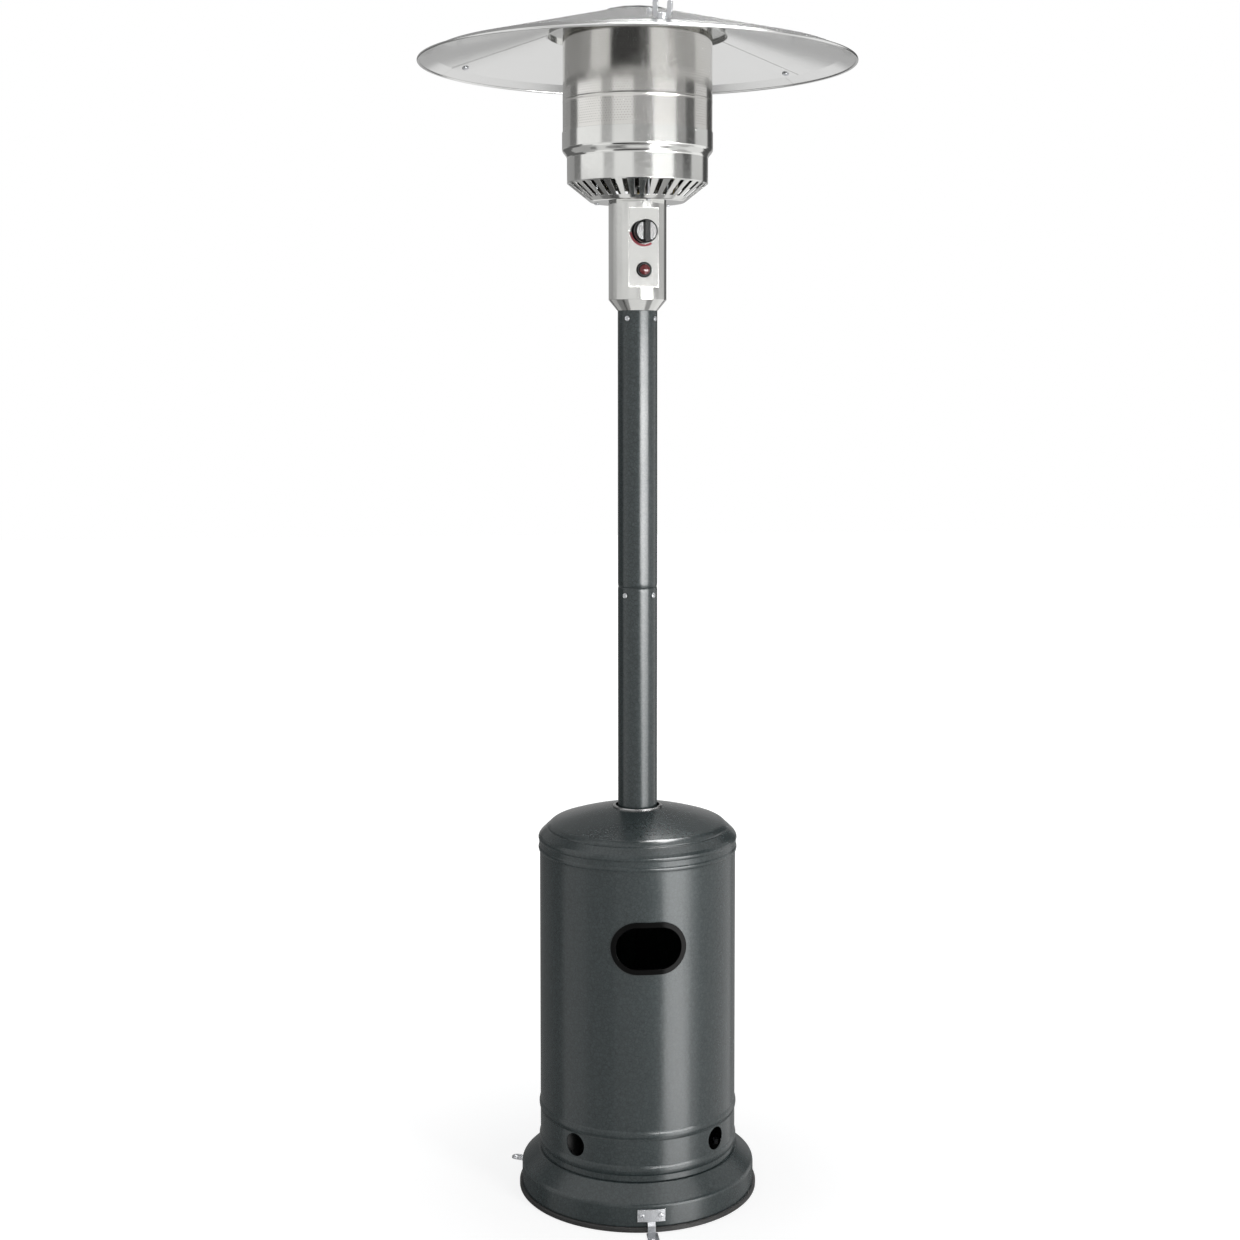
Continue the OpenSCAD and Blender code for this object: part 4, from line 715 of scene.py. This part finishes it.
def tube_skin(heights, columns, hole_height):
    """(points as [angle, height], faces seen from outside, the holes' loops): a grid without the squares, then 16 quads
    from each square's border to its hole. Corner k of a hole lies at 22.5 k degrees, and the border's point beside
    it is the point of the square in the same direction."""
    h, a = np.meshgrid(heights, columns, indexing="ij")
    quads = grid_quads(len(heights), len(columns), wrap_cols=True)
    row, column = np.divmod(np.arange(len(quads)), len(columns))
    first_row = int(np.argmin(np.abs(heights - hole_height + square_half)))
    starts = np.arange(0, len(columns), square_cells + cells_between)
    in_square = ((row >= first_row) & (row < first_row + square_cells)
                 & (column % (square_cells + cells_between) < square_cells))
    reach = square_cells // 2
    right, up = (reach + np.clip(np.rint(math.sqrt(2) * reach * c), -reach, reach).astype(int)
                 for c in (np.cos(hole_turns), np.sin(hole_turns)))
    border = (first_row + up) * len(columns) + starts[:, None] + right
    holes = h.size + np.arange(border.size).reshape(border.shape)
    strips = np.stack([border, np.roll(border, -1, 1), np.roll(holes, -1, 1), holes], -1).reshape(-1, 4)
    angle = columns[starts + reach][:, None] + screw_hole_r * np.cos(hole_turns) / pole_r
    corners = np.stack([angle, hole_height + screw_hole_r * np.sin(hole_turns) + 0 * angle], -1)
    points = np.concatenate([np.stack([a, h], -1).reshape(-1, 2), corners.reshape(-1, 2)])
    return points, [quads[~in_square], strips], holes


print("a tube has", len(tube_columns(0.0)), "columns")

# %% The two tubes of the pole
def pole_tube(name, low, high, hole_height, yaw):
    """A tube of the pole in hammered paint, in place of the measured one. At the joint its outer skin is drawn in along
    a quarter of an ellipse; the inner skin stays straight. One more ring beyond the ellipse keeps the long wall's
    shading straight. Points inside the squares, which no face uses, are dropped."""
    roll = roll_tall * np.append(ring_beyond, 1.0 - np.sin(np.linspace(0.0, np.pi / 2, roll_rings)))
    square = np.linspace(hole_height - square_half, hole_height + square_half, square_cells + 1)
    heights = np.unique(np.concatenate([[low, high], square, pole_joint + (roll if low == pole_joint else -roll)]))
    columns = tube_columns(yaw)
    flat, outer, holes = tube_skin(heights, columns, hole_height)
    near = np.clip(1.0 - np.abs(flat[:, 1] - pole_joint) / roll_tall, 0.0, 1.0)
    skins = [np.stack([r * np.cos(flat[:, 0]), r * np.sin(flat[:, 0]), flat[:, 1]], -1)
             for r in (pole_r - roll_deep * (1.0 - np.sqrt(1.0 - near**2)), pole_r - pole_wall)]
    bottom = np.arange(len(columns))[None]
    top = (len(heights) - 1) * len(columns) + bottom
    faces = np.concatenate(sheet_faces(outer, [holes, bottom[:, ::-1], top], len(flat)))
    used, faces = np.unique(faces, return_inverse=True)
    tube = mesh_piece(name + "_rolled", np.concatenate(skins)[used], [faces.reshape(-1, 4)], smooth_deg=40)
    tube.data.materials.append(finishes["hammered_paint"])
    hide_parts(name)
    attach(tube, "stand")
    print(tube.name, triangles(tube), "triangles")


pole_tube("lower_pole", pole_foot, pole_joint, joint_screws_at, 0.0)
pole_tube("upper_pole", pole_joint, pole_top, head_screws_at, head_yaw)

# %% [markdown]
# ## Cross-recess screws
# Eight screws hold the pole's joints and six hold the floor anchors. A screw is a turned shape with a cross pressed
# into its head: the turned part is a profile swept round an axis, and the cross is a depth that we
# take off the head where a point lies within an arm. A cut with solids would give the same cross with harder edges.

# %% Turned shapes
def turned(radius, height, count):
    """Points of a turned shape: row i on a circle of radius[i] at height[i], column j at 2 pi j / count."""
    turn = 2 * np.pi * np.arange(count) / count
    return np.stack([np.outer(radius, np.cos(turn)), np.outer(radius, np.sin(turn)),
                     np.repeat(np.asarray(height, float)[:, None], count, 1)], -1)


def closed_faces(rows, count, first):
    """Quads of a turned grid and its two end caps, facing outwards when the rows run from the back to the front."""
    ring = np.arange(count)
    return [grid_quads(rows, count, wrap_cols=True, first=first), first + ring[None, ::-1],
            first + (rows - 1) * count + ring[None, :]]


def placed(shapes, seats):
    """Points and faces of copies of turned grids: each seat is (place, axis), an axis parallel to the floor, and
    the grid's own X lies along the floor, its Y upwards and its Z along the axis."""
    points, faces, first = [], [], 0
    for shape, (place, axis) in zip(shapes, seats):
        side = np.cross([0.0, 0.0, 1.0], axis)
        points.append((np.asarray(place) + shape @ np.stack([side, np.cross(axis, side), axis])).reshape(-1, 3))
        faces += closed_faces(*shape.shape[:2], first)
        first += points[-1].shape[0]
    return np.concatenate(points), faces


def radial_seat(azimuth, radius, height):
    """Place and outward axis at an azimuth in degrees from +X."""
    a = math.radians(azimuth)
    axis = np.array([math.cos(a), math.sin(a), 0.0])
    return axis * radius + np.array([0.0, 0.0, height]), axis


print("turned shapes ready")

# %% One cross-recess screw
screw_sides, dome_rows = 48, 16


def cross_screw(head_r, head_h, shank_r, length, slant):
    """Screw with its seat at height 0: shank to -length, rounded head, cross recess turned by slant degrees. The recess
    is deepest where a point is within half an arm's width of an arm's middle line and within the arm's length."""
    inward = np.linspace(0.97, 0.03, dome_rows)
    dome = head_h * (0.42 + 0.58 * np.sqrt(1 - inward**2))
    points = turned(np.concatenate([[0.7 * shank_r, shank_r, shank_r, head_r, head_r], head_r * inward]),
                    np.concatenate([[-length, 0.3 * shank_r - length, 0, 0, 0.30 * head_h], dome]), screw_sides)
    head = points[-dome_rows:]
    a = math.radians(slant)
    x, y = (np.abs(head[..., 0] * c + head[..., 1] * d) / head_r
            for c, d in ((math.cos(a), math.sin(a)), (-math.sin(a), math.cos(a))))
    head[..., 2] -= (0.62 * head_h * ease((0.15 - np.minimum(x, y)) / 0.10 + 0.5)
                     * ease((0.58 - np.maximum(x, y)) / 0.12 + 0.5))
    return points


print("a screw's head has", dome_rows, "rings of", screw_sides, "points")

# %% Screws at the pole's joints
def screw_piece(name, shapes, seats):
    """Screws that stand for a measured node, in zinc, fixed to the stand."""
    points, faces = placed(shapes, seats)
    piece = mesh_piece(name + "_crossed", points, faces, smooth_deg=38)
    piece.data.materials.append(finishes["zinc"])
    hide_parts(name)
    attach(piece, "stand")
    print(piece.name, triangles(piece), "triangles")


def inner_end(name):
    """Smallest distance of the node's points from the pole's axis."""
    points = np.zeros(3 * len(node[name].data.vertices), np.float32)
    node[name].data.vertices.foreach_get("co", points)
    return float(np.hypot(points[0::3], points[1::3]).min())


pole_seat, screw_head, screw_shank = 0.0371, (0.0048, 0.0028), 0.0022
for name, height, yaw in (("pole_joint_screws", joint_screws_at, 0.0), ("head_screws", head_screws_at, head_yaw)):
    length = pole_seat - inner_end(name)
    screw_piece(name, [cross_screw(*screw_head, screw_shank, length, 20 + 40 * k) for k in range(4)],
                [radial_seat(45 + 90 * k + yaw, pole_seat, height) for k in range(4)])

# %% Screws and nuts of the floor anchors
anchor_seat, anchor_height, nut_at, anchor_spread = 0.2227, 0.030, 0.2177, 4.43
anchor_at = [a + d for a in (-90, 30, 150) for d in (-anchor_spread, anchor_spread)]
length = anchor_seat - inner_end("anchor_screws")
nut = turned([0.0042, 0.0046, 0.0046, 0.0042], [-0.0040, -0.0036, -0.0004, 0.0], 6)
screw_piece("anchor_screws", [cross_screw(0.0046, 0.0028, 0.0025, length, 15 + 35 * k) for k in range(6)] + [nut] * 6,
            [radial_seat(a, anchor_seat, anchor_height) for a in anchor_at]
            + [radial_seat(a, nut_at, anchor_height) for a in anchor_at])

# %% [markdown]
# ## Rivets
# The emitter's sheet is closed with rivets on its bead, and the wider band is riveted to it. A rivet is the simplest
# turned shape: a flat dome with a short tail in the sheet.

# %% Rivet heads on the emitter and its band
def rivet(radius, height, tail):
    """Rivet with its seat at height 0: a quarter-ellipse dome above it and a thin tail below."""
    up = np.linspace(0.0, 0.48 * np.pi, 6)
    return turned(np.concatenate([[0.5 * radius, 0.5 * radius], radius * np.cos(up)]),
                  np.concatenate([[-tail, 0.0], height * np.sin(up)]), 16)


band_r, band_rivets, rivet_lift = 0.1400, 1.984, 0.0001
bead_turn, band_turn = 15.6 - 90, 43.0 - 90
seats = [radial_seat(bead_turn + 120 * k, emitter_r + rivet_lift, bead_at) for k in range(3)]
seats += [radial_seat(band_turn + 120 * k, band_r, band_rivets) for k in range(3)]
points, faces = placed([rivet(0.0022, 0.0009, 0.0015)] * len(seats), seats)
rivets = mesh_piece("emitter_rivets", points, faces, smooth_deg=40)
rivets.data.materials.append(finishes["stainless"])
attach(rivets, "stand")
print("rivets:", triangles(rivets), "triangles")

# %% [markdown]
# ## Measure
# The pieces made here stand where measured ones stood, so the box round everything should match the measured one.
# We print its size.

# %% Sizes for the record
low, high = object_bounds()
print("box now", [round(b - a, 4) for a, b in zip(low, high)])
